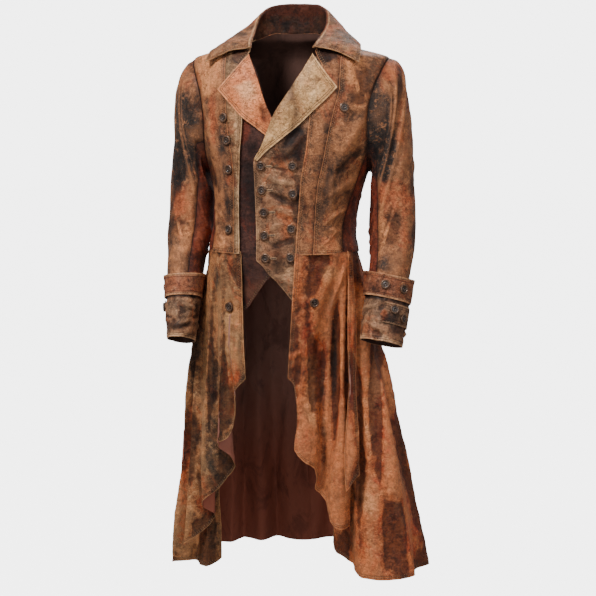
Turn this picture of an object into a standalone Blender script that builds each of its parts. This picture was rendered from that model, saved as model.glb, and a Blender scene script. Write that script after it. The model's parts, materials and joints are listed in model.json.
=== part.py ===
"""A calf-length leather tailcoat, worn and hollow, with a built-in double-breasted waistcoat.

Every piece that a maker would cut is a closed wall of leather, and an object of its own. The upper
body is laid on a figure's form, a stack of rounded sections, and each panel is the part of that form
between its seams, lifted by the layers under it. The skirts hang from the waist seam to a folded hem,
the sleeves are rings along the arm, and the collar is a profile that turns over round the neck.

Metres, +Z up, the front towards -Y, the wearer's left towards +X. The origin is the middle of the neck
opening at the height of the shoulders' neck ends, where the wearer's shoulders carry the coat.
"""

import math

import bmesh
import bpy
import numpy as np
from mathutils import Vector

# Leather and clearances
LEATHER = 0.0016
CUFF_LEATHER = 0.0028
SEAM = 0.0003

# Heights
WAIST = -0.476
SHOULDER_TIP = -0.042
CHEST_JOIN = -0.245
BACK_JOIN = -0.200

# The armhole, as an ellipse in side view, from the shoulder tip to under the arm
ARMHOLE_MIDDLE = -0.168
ARMHOLE_HALF_HEIGHT = 0.126
ARMHOLE_FORWARD = 0.066
ARMHOLE_BACKWARD = 0.074

# The figure's form: each section's height, sideways shift, half width, and depth to front and back
ROUNDNESS = 2.3
SECTIONS = (
    # height, shift, half width, front, back
    (0.030, 0.000, 0.062, 0.046, 0.054),
    (0.018, 0.000, 0.068, 0.050, 0.060),
    (0.000, 0.000, 0.078, 0.058, 0.068),
    (-0.014, 0.000, 0.120, 0.070, 0.082),
    (-0.028, 0.000, 0.175, 0.080, 0.094),
    (-0.042, 0.000, 0.222, 0.090, 0.102),
    (-0.070, 0.000, 0.225, 0.102, 0.110),
    (-0.110, 0.000, 0.220, 0.114, 0.116),
    (-0.160, 0.000, 0.211, 0.123, 0.119),
    (-0.210, 0.000, 0.204, 0.128, 0.118),
    (-0.260, -0.002, 0.191, 0.130, 0.114),
    (-0.310, -0.005, 0.174, 0.130, 0.110),
    (-0.360, -0.010, 0.164, 0.128, 0.105),
    (-0.410, -0.014, 0.160, 0.125, 0.100),
    (-0.450, -0.016, 0.165, 0.124, 0.101),
    (-0.480, -0.016, 0.171, 0.1245, 0.105),
    (-0.520, -0.015, 0.176, 0.1195, 0.109),
    (-0.560, -0.014, 0.180, 0.1130, 0.112),
    (-0.640, -0.012, 0.188, 0.1030, 0.118),
)

# How far the coat's layers stand off the form
COAT_LIFT_SIDE = 0.0030
COAT_LIFT_FRONT = 0.0095
COAT_LIFT_TURN = (math.radians(34), math.radians(64))
VEST_LIFT_RIGHT = 0.0020
VEST_LIFT_LEFT = 0.0050
VEST_LIFT_ROLL = 0.0042

# Front edges and seams, as height and distance from the coat's middle plane
EDGE_LEFT = ((-0.001, 0.0776), (-0.006, 0.0776), (-0.0125, 0.0770), (-0.030, 0.0735), (-0.044, 0.082),
             (-0.060, 0.091), (-0.100, 0.087), (-0.173, 0.070), (-0.238, 0.063), (-0.311, 0.051), (-0.375, 0.045),
             (-0.445, 0.039), (-0.477, 0.038))
BAND_LEFT = ((-0.001, 0.130), (-0.030, 0.130), (-0.103, 0.130), (-0.157, 0.119), (-0.216, 0.107),
             (-0.273, 0.096), (-0.320, 0.085), (-0.400, 0.077), (-0.477, 0.074))
EDGE_RIGHT = ((-0.001, 0.0776), (-0.006, 0.0776), (-0.0125, 0.0770), (-0.030, 0.0735), (-0.044, 0.083),
              (-0.060, 0.093), (-0.100, 0.090), (-0.184, 0.080), (-0.268, 0.086), (-0.400, 0.088), (-0.477, 0.088))
BAND_RIGHT = ((-0.001, 0.128), (-0.030, 0.128), (-0.150, 0.120), (-0.229, 0.110), (-0.258, 0.104),
              (-0.313, 0.100), (-0.434, 0.101), (-0.477, 0.101))
# Seams at the sides, as height and angle round the form in degrees
SIDE_SEAM = ((-0.245, 69.6), (-0.323, 71.0), (-0.389, 65.5), (-0.477, 60.0))
BACK_SEAM = ((-0.200, 124.3), (-0.300, 127.0), (-0.400, 131.0), (-0.477, 132.0))

# The waistcoat's fronts: edges as height and distance, hems as share of the way across and height
VEST_EDGE_LEFT = ((-0.040, 0.066), (-0.087, 0.040), (-0.129, 0.013), (-0.166, -0.010), (-0.205, -0.024),
                  (-0.243, -0.036), (-0.272, -0.055), (-0.330, -0.053), (-0.444, -0.050), (-0.600, -0.049))
VEST_SIDE_LEFT = ((-0.040, 0.112), (-0.160, 0.104), (-0.273, 0.088), (-0.400, 0.070), (-0.600, 0.064))
VEST_HEM_LEFT = ((0.00, -0.490), (0.12, -0.502), (0.20, -0.517), (0.68, -0.586), (0.90, -0.611), (1.00, -0.614))
VEST_SIDE_RIGHT = ((-0.040, 0.112), (-0.160, 0.106), (-0.260, 0.099), (-0.400, 0.098), (-0.610, 0.098))
VEST_EDGE_RIGHT = ((-0.040, 0.073), (-0.070, 0.056), (-0.103, 0.043), (-0.136, 0.032), (-0.173, 0.013),
                   (-0.200, -0.004), (-0.240, -0.024), (-0.300, -0.032), (-0.470, -0.030), (-0.610, -0.028))
VEST_HEM_RIGHT = ((0.00, -0.482), (0.15, -0.498), (0.40, -0.535), (0.64, -0.576), (0.84, -0.604), (1.00, -0.609))

# Lapels: where they roll over and where they end, as distance and height, from the gorge down
LAPEL_LEFT = (
    # roll x, roll height, outer x, outer height, roll lift, outer lift
    (0.0690, -0.0370, 0.126, -0.107, 0.0118, 0.0150),
    (0.0535, -0.0660, 0.106, -0.130, 0.0114, 0.0148),
    (0.0310, -0.1010, 0.079, -0.157, 0.0112, 0.0146),
    (0.0090, -0.1360, 0.047, -0.189, 0.0114, 0.0142),
    (-0.0090, -0.1660, 0.018, -0.213, 0.0114, 0.0140),
    (-0.0230, -0.2020, -0.004, -0.231, 0.0114, 0.0135),
    (-0.0355, -0.2360, -0.023, -0.246, 0.0112, 0.0124),
    (-0.0530, -0.2640, -0.044, -0.267, 0.0098, 0.0108),
)
LAPEL_RIGHT = (
    (0.0740, -0.0380, 0.137, -0.112, 0.0118, 0.0150),
    (0.0610, -0.0630, 0.122, -0.128, 0.0108, 0.0148),
    (0.0480, -0.0920, 0.103, -0.149, 0.0092, 0.0140),
    (0.0370, -0.1230, 0.080, -0.172, 0.0072, 0.0125),
    (0.0250, -0.1520, 0.053, -0.192, 0.0068, 0.0082),
    (0.0120, -0.1760, 0.030, -0.209, 0.0062, 0.0066),
    (0.0000, -0.1960, 0.008, -0.223, 0.0056, 0.0060),
)

# The collar from the centre back to its front end: the fold and the fall's edge
COLLAR = (
    # share, fold x, fold y, fold z, edge x, edge y, edge z
    (0.00, 0.000, 0.078, 0.0850, 0.000, 0.106, -0.012),
    (0.22, 0.042, 0.068, 0.0835, 0.062, 0.100, -0.014),
    (0.45, 0.076, 0.038, 0.0660, 0.124, 0.068, -0.012),
    (0.65, 0.084, 0.004, 0.0370, 0.156, 0.012, -0.006),
    (0.85, 0.082, -0.038, 0.0130, 0.170, -0.044, -0.018),
    (0.93, 0.079, -0.069, 0.0000, 0.174, -0.070, -0.0290),
    (1.00, 0.0745, -0.0930, -0.0150, 0.175, -0.095, -0.050),
)
COLLAR_FOLD = 0.0054
COLLAR_SHOULDER = 0.65

# Each sleeve's rings down the arm: middle, lean of the ring in degrees, and its half sizes
SLEEVE_LEFT = (
    # share, x, y, z, lean, half width, half depth
    (0.00, 0.2070, 0.004, -0.1690, 80.0, 0.1260, 0.0690),
    (0.08, 0.2132, 0.004, -0.1725, 78.0, 0.1283, 0.0680),
    (0.16, 0.2199, 0.005, -0.1845, 74.6, 0.1250, 0.0660),
    (0.24, 0.2245, 0.006, -0.2035, 70.9, 0.1148, 0.0640),
    (0.32, 0.2265, 0.007, -0.2320, 65.2, 0.1013, 0.0620),
    (0.42, 0.2285, 0.008, -0.2710, 56.8, 0.0849, 0.0600),
    (0.52, 0.2310, 0.008, -0.3275, 43.8, 0.0686, 0.0580),
    (0.62, 0.2335, 0.005, -0.3950, 24.0, 0.0575, 0.0560),
    (0.72, 0.2350, -0.004, -0.4550, 6.0, 0.0520, 0.0535),
    (0.82, 0.2330, -0.020, -0.5150, -9.0, 0.0470, 0.0515),
    (0.90, 0.2310, -0.042, -0.5770, -9.5, 0.0465, 0.0490),
    (1.00, 0.2245, -0.078, -0.6740, -8.0, 0.0440, 0.0450),
)
SLEEVE_RIGHT = (
    (0.00, 0.2070, 0.004, -0.1690, 80.0, 0.1260, 0.0690),
    (0.08, 0.2168, 0.004, -0.1725, 79.5, 0.1276, 0.0680),
    (0.16, 0.2235, 0.005, -0.1845, 76.2, 0.1241, 0.0660),
    (0.24, 0.2273, 0.006, -0.2035, 72.2, 0.1139, 0.0640),
    (0.32, 0.2293, 0.007, -0.2320, 66.6, 0.1002, 0.0620),
    (0.42, 0.2290, 0.008, -0.2710, 56.8, 0.0849, 0.0600),
    (0.52, 0.2325, 0.007, -0.3275, 43.8, 0.0670, 0.0580),
    (0.62, 0.2365, 0.003, -0.3950, 24.0, 0.0545, 0.0565),
    (0.72, 0.2410, -0.008, -0.4550, 8.0, 0.0485, 0.0545),
    (0.82, 0.2422, -0.026, -0.5150, -5.0, 0.0432, 0.0525),
    (0.90, 0.2408, -0.054, -0.5800, -5.0, 0.0352, 0.0505),
    (1.00, 0.2365, -0.090, -0.6780, -2.0, 0.0265, 0.0480),
)
SLEEVE_PITCH = 16.0
SLEEVE_END = 0.915
SLEEVE_SEAM = math.radians(118)
SLEEVE_LIFT = 0.0038

# Cuffs: share of the way down the sleeve, and distance outside it
CUFF_UPPER_LEFT = ((0.838, 0.0120), (0.855, 0.0108), (0.880, 0.0090), (0.904, 0.0076))
CUFF_UPPER_RIGHT = ((0.848, 0.0082), (0.864, 0.0080), (0.884, 0.0078), (0.906, 0.0077))
CUFF_LOWER = ((0.896, 0.0041), (0.930, 0.0044), (0.965, 0.0044), (1.000, 0.0036))
STRAP = (0.914, 0.960)
STRAP_LIFT = 0.0067
# Where each strap ends, and each cuff's buttons: name, share down the sleeve and angle round it in degrees.
# The right arm is turned further inwards, so its buttons lie further back.
STRAP_ENDS_LEFT = (-75.0, 84.0)
STRAP_ENDS_RIGHT = (-140.0, 30.0)
CUFF_BUTTONS_LEFT = (("upper_a", 0.870, 86.0), ("upper_b", 0.872, 42.0))
CUFF_BUTTONS_RIGHT = (("upper_a", 0.877, -8.0), ("upper_b", 0.877, -52.0))
STRAP_BUTTONS_LEFT = (("strap_a", 0.928, 58.0), ("strap_b", 0.943, 28.0))
STRAP_BUTTONS_RIGHT = (("strap_a", 0.928, 14.0), ("strap_b", 0.943, -16.0))

# Skirts on each side: a row is a crest, hollow, turn or edge, from the front round to the back
SKIRT_FRONT_LEFT = (
    # angle at the waist, hem distance, hem y, hem z, bow
    (15.3, 0.017, -0.110, -0.755, 0.000),
    (19.0, 0.031, -0.108, -0.772, 0.000),
    (23.0, 0.037, -0.101, -0.840, 0.000),
    (28.0, 0.0365, -0.101, -0.922, 0.000),
    (41.0, 0.050, -0.097, -0.944, -0.010),
    (53.0, 0.068, -0.085, -0.962, -0.024),
    (55.5, 0.072, -0.070, -0.990, -0.018),
    (57.5, 0.068, -0.057, -1.015, -0.006),
    (59.0, 0.082, -0.048, -1.030, 0.000),
    (60.5, 0.098, -0.053, -1.047, 0.000),
    (62.5, 0.108, -0.067, -1.085, 0.000),
    (65.5, 0.123, -0.074, -1.102, 0.000),
    (68.5, 0.137, -0.066, -1.105, 0.000),
    (72.0, 0.148, -0.048, -1.100, 0.000),
)
SKIRT_FRONT_RIGHT = (
    (20.8, 0.082, -0.105, -0.761, 0.000),
    (27.0, 0.110, -0.101, -0.796, 0.000),
    (30.0, 0.116, -0.082, -0.870, 0.000),
    (33.0, 0.132, -0.082, -0.903, 0.000),
    (38.0, 0.154, -0.084, -0.916, 0.000),
    (40.5, 0.156, -0.068, -0.926, 0.000),
    (42.5, 0.132, -0.052, -0.950, 0.000),
    (44.5, 0.127, -0.039, -0.975, 0.000),
    (47.0, 0.138, -0.034, -0.998, 0.000),
    (52.0, 0.162, -0.044, -1.029, 0.000),
    (57.0, 0.190, -0.048, -1.050, 0.000),
    (60.0, 0.206, -0.041, -1.067, 0.000),
    (62.0, 0.204, -0.027, -1.077, 0.000),
    (64.0, 0.184, -0.014, -1.094, 0.000),
    (66.0, 0.186, -0.002, -1.110, 0.000),
    (70.0, 0.214, -0.014, -1.143, 0.000),
    (78.0, 0.252, -0.028, -1.167, 0.010),
)
SKIRT_BACK_LEFT = (
    (69.0, 0.087, 0.040, -1.163, 0.000),
    (70.5, 0.100, 0.018, -1.180, 0.000),
    (72.0, 0.127, -0.006, -1.188, 0.000),
    (73.5, 0.152, -0.026, -1.193, 0.000),
    (75.0, 0.164, -0.046, -1.206, 0.000),
    (77.5, 0.182, -0.062, -1.216, 0.000),
    (81.0, 0.222, -0.068, -1.218, 0.000),
    (85.0, 0.266, -0.058, -1.216, 0.000),
    (88.0, 0.296, -0.032, -1.210, 0.004),
    (91.0, 0.294, 0.004, -1.206, 0.004),
    (96.0, 0.318, 0.076, -1.208, 0.006),
    (103.0, 0.290, 0.112, -1.208, 0.006),
    (110.0, 0.288, 0.160, -1.208, 0.004),
    (119.0, 0.240, 0.168, -1.206, 0.000),
    (128.0, 0.222, 0.220, -1.205, 0.000),
    (138.0, 0.170, 0.200, -1.203, 0.000),
    (148.0, 0.145, 0.250, -1.200, 0.000),
    (157.0, 0.096, 0.216, -1.200, 0.000),
    (167.0, 0.058, 0.258, -1.200, 0.000),
    (179.8, 0.0006, 0.226, -1.200, 0.000),
)
SKIRT_BACK_RIGHT = (
    (66.0, 0.179, 0.044, -1.213, 0.000),
    (70.0, 0.188, 0.024, -1.222, 0.000),
    (74.0, 0.206, 0.003, -1.228, 0.000),
    (78.0, 0.226, 0.012, -1.225, 0.004),
    (81.0, 0.238, 0.030, -1.219, 0.010),
    (84.5, 0.262, 0.010, -1.217, 0.016),
    (89.0, 0.286, -0.008, -1.217, 0.022),
    (93.0, 0.292, 0.024, -1.215, 0.020),
    (99.0, 0.268, 0.062, -1.212, 0.014),
    (106.0, 0.282, 0.106, -1.210, 0.010),
    (114.0, 0.240, 0.128, -1.210, 0.004),
    (122.0, 0.236, 0.180, -1.208, 0.000),
    (131.0, 0.190, 0.172, -1.206, 0.000),
    (141.0, 0.170, 0.226, -1.204, 0.000),
    (151.0, 0.120, 0.196, -1.202, 0.000),
    (161.0, 0.088, 0.246, -1.200, 0.000),
    (170.0, 0.044, 0.214, -1.200, 0.000),
    (179.8, 0.0006, 0.226, -1.200, 0.000),
)
SIDE_STRIP_LEFT = (
    (65.5, 0.148, -0.082, -1.014, 0.000),
    (68.0, 0.157, -0.093, -1.000, 0.000),
    (71.0, 0.168, -0.091, -0.986, 0.000),
    (74.0, 0.178, -0.077, -0.977, 0.000),
)
BOW_HEIGHT = 0.30
SKIRT_LIFT_BACK = 0.0010
SKIRT_LIFT_FRONT = 0.0034
SKIRT_LIFT_STRIP = 0.0055
SKIRT_LEVELS = (0.0, 0.08, 0.18, 0.31, 0.48, 0.72, 1.0)

# Buttons: size, and each one's distance from the middle plane and height
BUTTON_RADIUS = 0.0105
BUTTON_THICKNESS = 0.0042
VEST_BUTTONS_LEFT = ((-0.038, -0.279), (-0.036, -0.332), (-0.032, -0.382), (-0.031, -0.434), (-0.029, -0.484))
VEST_BUTTONS_RIGHT = ((0.034, -0.278), (0.034, -0.340), (0.0295, -0.418), (0.0275, -0.482))
COAT_BUTTONS_RIGHT = ((-0.128, -0.173), (-0.119, -0.223), (-0.115, -0.288), (-0.117, -0.422))
COAT_BUTTON_LEFT = (0.144, -0.149)
SKIRT_BUTTON_LEFT = (0.078, -0.583)
SKIRT_BUTTON_RIGHT = (-0.116, -0.597)

# How finely the walls are divided
PANEL_HEIGHTS = (-0.006, -0.0125, -0.0225, -0.030, -0.042, -0.049, -0.062, -0.085, -0.125, -0.168,
                 -0.207, -0.245, -0.285, -0.325, -0.370, -0.415, -0.450, -0.485, -0.520, -0.560)


def smooth(table, at):
    """Reads a table's later columns at places along its first one, on a curve that never overshoots."""
    rows = np.array(sorted(table), float)
    place, values = rows[:, 0], rows[:, 1:]
    steep = np.diff(values, axis=0) / np.diff(place)[:, None]
    before, after = steep[:-1], steep[1:]
    same_way = before * after > 0
    total = np.where(same_way, before + after, 1.0)
    slope = np.vstack([steep[:1], np.where(same_way, 2 * before * after / total, 0.0), steep[-1:]])
    at = np.clip(np.asarray(at, float), place[0], place[-1])
    low = np.clip(np.searchsorted(place, at, side="right") - 1, 0, len(place) - 2)
    step = (place[low + 1] - place[low])[..., None]
    t = (at - place[low])[..., None] / step
    return (
        values[low] * (1 + 2 * t) * (1 - t) ** 2
        + values[low + 1] * t**2 * (3 - 2 * t)
        + slope[low] * step * t * (1 - t) ** 2
        + slope[low + 1] * step * t**2 * (t - 1)
    )


def line(table, at):
    """Reads a table of two columns."""
    return smooth(table, at)[..., 0]


def ramp(low, high, at):
    """Rises smoothly from 0 at low to 1 at high."""
    t = np.clip((np.asarray(at, float) - low) / (high - low), 0, 1)
    return t * t * (3 - 2 * t)


def form(angle, height):
    """A point on the figure's form, at an angle from the front towards the wearer's left."""
    angle, height = np.broadcast_arrays(np.asarray(angle, float), np.asarray(height, float))
    shift, half, front, back = np.moveaxis(smooth(SECTIONS, height), -1, 0)
    side, ahead = np.sin(angle), np.cos(angle)
    power = 2 / ROUNDNESS
    x = shift + half * np.sign(side) * np.abs(side) ** power
    y = -np.where(ahead > 0, front, back) * np.sign(ahead) * np.abs(ahead) ** power
    return np.stack([x, y, height], axis=-1)


def laid(angle, height, lift):
    """A point of the form, moved out along its normal by what lies under it."""
    turn, drop = 0.02, 0.003
    across = form(angle + turn, height) - form(angle - turn, height)
    down = form(angle, height - drop) - form(angle, height + drop)
    normal = np.cross(down, across)
    normal /= np.linalg.norm(normal, axis=-1, keepdims=True)
    return form(angle, height) + normal * np.asarray(lift)[..., None]


def laid_wall(angle, height, lift):
    """The outer and inner points of a wall of leather laid on the form."""
    return np.stack([laid(angle, height, lift), laid(angle, height, lift - LEATHER)])


def thickened(points, thickness=LEATHER):
    """The outer and inner points of a wall, from a grid of outer points that has no seam on the form."""
    down, across = np.gradient(points, axis=1), np.gradient(points, axis=0)
    normal = np.cross(down, across)
    normal /= np.linalg.norm(normal, axis=-1, keepdims=True)
    return np.stack([points, points - normal * thickness])


def angle_at(x, height):
    """The angle at which the form's front lies this far to the wearer's left."""
    shift, half = np.moveaxis(smooth(SECTIONS, height), -1, 0)[:2]
    share = np.clip((x - shift) / half, -1, 1)
    return np.arcsin(np.sign(share) * np.abs(share) ** (ROUNDNESS / 2))


def armhole_angle(height, reach, lift=0.0):
    """The angle of the armhole's front edge, for a positive reach, or of its back edge."""
    depth = smooth(SECTIONS, height)[..., 2 if reach > 0 else 3]
    share = np.clip((height - ARMHOLE_MIDDLE) / (ARMHOLE_HALF_HEIGHT + lift), -1, 1)
    y = (abs(reach) + lift) * np.sqrt(1 - share**2)
    turn = np.arccos(np.clip(y / depth, 0, 1) ** (ROUNDNESS / 2))
    return turn if reach > 0 else math.pi - turn


def armhole_floor(angle):
    """The height of the armhole's lower edge at an angle round the form."""
    height = np.full_like(angle, ARMHOLE_MIDDLE - ARMHOLE_HALF_HEIGHT)
    for _ in range(12):
        y = form(angle, height)[..., 1]
        reach = np.where(y < 0, ARMHOLE_FORWARD, ARMHOLE_BACKWARD)
        share = np.clip(np.abs(y) / reach, 0, 1)
        height = ARMHOLE_MIDDLE - ARMHOLE_HALF_HEIGHT * np.sqrt(1 - share**2)
    return height


def coat_lift(angle):
    """The coat stands off the form over the waistcoat in front, and lies close at the sides and back."""
    near = 1 - ramp(*COAT_LIFT_TURN, np.abs(angle))
    return COAT_LIFT_SIDE + (COAT_LIFT_FRONT - COAT_LIFT_SIDE) * near


def finish(name, colour, roughness, metallic=0.0):
    """A plain material in one of the coat's colours."""
    material = bpy.data.materials.new(name)
    material.use_nodes = True
    shader = material.node_tree.nodes["Principled BSDF"]
    shader.inputs["Base Color"].default_value = (*colour, 1.0)
    shader.inputs["Roughness"].default_value = roughness
    shader.inputs["Metallic"].default_value = metallic
    return material


def piece(name, mesh, material):
    """Puts a mesh in the scene as a named piece in one material."""
    mesh.materials.append(material)
    mesh.shade_smooth()
    thing = bpy.data.objects.new(name, mesh)
    bpy.context.scene.collection.objects.link(thing)
    return thing


def wall(name, faces, material, ring=False):
    """A closed wall from its outer and inner points, each as columns across and rows down.

    Both faces are split into triangles along the same diagonals, so that they never cross.
    """
    columns, rows = faces.shape[1:3]
    layer = columns * rows
    outer = faces[0].reshape(-1, 3)
    triangles = []
    for i in range(columns if ring else columns - 1):
        k = (i + 1) % columns
        for j in range(rows - 1):
            a, b, c, d = i * rows + j, i * rows + j + 1, k * rows + j + 1, k * rows + j
            if np.linalg.norm(outer[a] - outer[c]) < np.linalg.norm(outer[b] - outer[d]):
                halves = ((a, b, c), (a, c, d))
            else:
                halves = ((a, b, d), (b, c, d))
            for half in halves:
                triangles.append(half)
                triangles.append(tuple(corner + layer for corner in reversed(half)))
        for j, order in ((0, 1), (rows - 1, -1)):
            a, b = i * rows + j, k * rows + j
            triangles.append((a, b, b + layer)[::order])
            triangles.append((a, b + layer, a + layer)[::order])
    if not ring:
        for i, order in ((0, -1), (columns - 1, 1)):
            for j in range(rows - 1):
                a, b = i * rows + j, i * rows + j + 1
                triangles.append((a, b, b + layer)[::order])
                triangles.append((a, b + layer, a + layer)[::order])
    mesh = bpy.data.meshes.new(name)
    mesh.from_pydata(faces.reshape(-1, 3).tolist(), [], triangles)
    return piece(name, mesh, material)


def in_order(points, side):
    """Puts a side's columns in the order that turns the wall's outer face outwards."""
    return points if side > 0 else points[..., ::-1, :, :]


def panel(side, inner, outer, top, hem, columns, heights, lift):
    """A panel's points, from its inner edge round to its outer one and from its top down to its hem.

    The edges give an angle on the panel's own side at a height, the top and the hem a height at a
    share of the way across, and the lift a distance at an angle and height.
    """
    across = np.linspace(0, 1, columns)[:, None]
    upper, lower = top(across), hem(across)
    down = ((np.array(heights) - heights[0]) / (heights[-1] - heights[0]))[None, :]
    height = upper + (lower - upper) * down
    start, end = inner(height), outer(height)
    angle = start + (end - start) * across
    return in_order(laid_wall(side * angle, height, lift(angle, height)), side)


def edge_line(side, table, gap=0.0):
    """An edge from a table of heights and distances from the middle plane, moved outwards by a gap."""
    return lambda height: side * angle_at(side * (line(table, height) + gap), height)


def seam_line(table, gap=0.0):
    """An edge from a table of heights and angles in degrees, moved outwards by a gap."""
    return lambda height: np.radians(line(table, height)) + gap


def level(value):
    """The same height all the way across."""
    return lambda across: np.full_like(across, value)


def heights_between(top, bottom):
    """The standard row heights that lie between two levels, with the levels themselves."""
    near = 0.004
    inner = [h for h in PANEL_HEIGHTS if bottom + near < h < top - near]
    return (top, *inner, bottom)


SEAM_ANGLE = SEAM / 0.15


def band_side_edge(side, table):
    """The front band's outer edge, which ends at the shoulder seam."""
    edge = edge_line(side, table, -SEAM)
    return lambda height: np.minimum(edge(height), math.pi / 2 - SEAM_ANGLE)


def front_side_edge(height):
    """The coat front's outer edge: the shoulder seam, then the armhole, then the side seam."""
    armhole = armhole_angle(height, ARMHOLE_FORWARD) - SEAM_ANGLE
    seam = np.radians(line(SIDE_SEAM, height)) - SEAM_ANGLE
    edge = np.where(height > CHEST_JOIN, armhole, seam)
    return np.where(height > SHOULDER_TIP, math.pi / 2 - SEAM_ANGLE, edge)


def back_side_edge(height):
    """The coat back's outer edge: the shoulder seam, then the armhole, then the back seam."""
    armhole = armhole_angle(height, -ARMHOLE_BACKWARD) + SEAM_ANGLE
    seam = np.radians(line(BACK_SEAM, height)) + SEAM_ANGLE
    edge = np.where(height > BACK_JOIN, armhole, seam)
    return np.where(height > SHOULDER_TIP, math.pi / 2 + SEAM_ANGLE, edge)


def nape(across):
    """The coat back's top, from the shoulder seam up to the nape."""
    return -0.001 + 0.017 * ramp(0.0, 0.6, across)


def armpit(across):
    """The side body's top, along the floor of the armhole."""
    start, end = np.radians(SIDE_SEAM[0][1]), np.radians(BACK_SEAM[0][1])
    return armhole_floor(start + (end - start) * across) - SEAM


def body_lift(angle, height):
    """The coat's lift, as panels take it."""
    return coat_lift(angle)


def vest_left_lift(angle, height):
    """The left waistcoat front lies over the right one, and stands up along the lapel's roll."""
    over_lapel = ramp(-0.075, -0.145, height) * (1 - ramp(-0.235, -0.275, height))
    return VEST_LIFT_LEFT + VEST_LIFT_ROLL * over_lapel * (1 - ramp(math.radians(6), math.radians(24), angle))


def side_body(side, name, leather):
    """The panel under the arm, its rows level below the chest and bent to the armhole above it."""
    across = np.linspace(0, 1, 7)[:, None]
    floor_end = ARMHOLE_MIDDLE - ARMHOLE_HALF_HEIGHT - 0.02
    level_rows = [h for h in heights_between(-0.001, WAIST) if h < floor_end]
    top, floor = armpit(across), np.full_like(across, level_rows[0])
    bent = [top + (floor - top) * share for share in (0.0, 0.20, 0.45, 0.70)]
    height = np.concatenate(bent + [np.full_like(across, h) for h in level_rows], axis=1)
    start = np.radians(line(SIDE_SEAM, height)) + SEAM_ANGLE
    end = np.radians(line(BACK_SEAM, height)) - SEAM_ANGLE
    angle = start + (end - start) * across
    points = laid_wall(side * angle, height, coat_lift(angle))
    wall(f"side_body_{name}", in_order(points, side), leather["red"])


def coat_body(side, name, edge, band, leather):
    """One side's front band, front, side body and back, above the waist seam."""
    hem = level(WAIST)
    rows = heights_between(-0.001, WAIST)
    inner, outer = edge_line(side, edge), band_side_edge(side, band)
    wall(f"front_band_{name}", panel(side, inner, outer, level(-0.001), hem, 4, rows, body_lift), leather["tan"])
    rows = heights_between(-0.0185, WAIST)
    inner = edge_line(side, band, SEAM)
    points = panel(side, inner, front_side_edge, level(-0.0185), hem, 6, rows, body_lift)
    wall(f"front_{name}", points, leather["brown"])
    side_body(side, name, leather)
    middle = level(math.pi - SEAM_ANGLE)
    rows = heights_between(0.000, WAIST)
    points = panel(side, back_side_edge, middle, nape, hem, 7, rows, body_lift)
    wall(f"back_{name}", points, leather["brown"])


def waistcoat(leather):
    """The two fronts of the waistcoat, the wearer's left over the right."""

    def right_lift(angle, height):
        return np.full_like(angle, VEST_LIFT_RIGHT)

    rows = heights_between(-0.040, -0.606)
    top = level(-0.040)
    edge, seam = edge_line(1, VEST_EDGE_LEFT), edge_line(1, VEST_SIDE_LEFT)
    hem = lambda across: line(VEST_HEM_LEFT, across)
    wall("vest_front_left", panel(1, edge, seam, top, hem, 9, rows, vest_left_lift), leather["grey"])
    edge, seam = edge_line(-1, VEST_EDGE_RIGHT), edge_line(-1, VEST_SIDE_RIGHT)
    hem = lambda across: line(VEST_HEM_RIGHT, across)
    wall("vest_front_right", panel(-1, edge, seam, top, hem, 8, rows, right_lift), leather["grey"])


def lapel(side, name, table, material):
    """A lapel, from its roll line out to its edge."""
    down = np.linspace(0, 1, 12)[None, :]
    rows = [(i / (len(table) - 1), *row) for i, row in enumerate(table)]
    values = smooth(rows, down)
    roll_x, roll_z, outer_x, outer_z, roll_lift, outer_lift = np.moveaxis(values, -1, 0)
    across = np.linspace(0, 1, 7)[:, None]
    x = roll_x + (outer_x - roll_x) * across
    height = roll_z + (outer_z - roll_z) * across
    lift = roll_lift + (outer_lift - roll_lift) * ramp(0.0, 0.25, across)
    wall(f"lapel_{name}", in_order(laid_wall(angle_at(side * x, height), height, lift), side), material)


def collar(leather):
    """The collar in one piece: up the stand from the neck seam, over the fold and down the fall."""
    share = np.linspace(-1, 1, 29)
    values = smooth(COLLAR, np.abs(share))
    side = np.where(share < 0, -1.0, 1.0)
    mirror = np.stack([side, np.ones_like(share), np.ones_like(share)], axis=-1)
    fold, edge = values[:, 0:3] * mirror, values[:, 3:6] * mirror
    behind = np.clip(np.abs(share) / COLLAR_SHOULDER, 0, 1)
    before = np.clip((np.abs(share) - COLLAR_SHOULDER) / (1 - COLLAR_SHOULDER), 0, 1)
    height = np.where(before > 0, -0.001 - 0.029 * before**2.5, nape(1 - behind))
    ahead = angle_at(line(EDGE_LEFT, height), height)
    angle = np.where(before > 0, np.minimum(ahead, math.pi / 2), math.pi - behind * math.pi / 2)
    seam = laid(side * angle, height, coat_lift(angle))
    flat, up = np.array([1.0, 1.0, 0.0]), np.array([0.0, 0.0, 1.0])
    inward = np.cross(np.gradient(seam, axis=0) * flat, -up)
    inward /= np.linalg.norm(inward, axis=-1, keepdims=True)
    clear = (LEATHER + SEAM) * (1 + ramp(0.0, 0.4, before))
    seam = seam + inward * clear[:, None] + up * 2 * SEAM
    out = (edge - fold) * flat
    out /= np.linalg.norm(out, axis=-1, keepdims=True)
    stand = seam + (fold - seam) * 0.5
    fall = [fold + out * COLLAR_FOLD + (edge - fold - out * COLLAR_FOLD) * t for t in (0.3, 0.65, 1.0)]
    full = [p + out * puff + up * puff for p, puff in zip(fall, (0.0035, 0.0030, 0.0))]
    rounded = [fold - out * COLLAR_FOLD - up * 0.0030, fold, fold + out * COLLAR_FOLD - up * 0.0022]
    profile = np.stack([seam, stand, *rounded, *full], axis=1)
    wall("collar", thickened(profile[:, ::-1]), leather["tan"])


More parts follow.
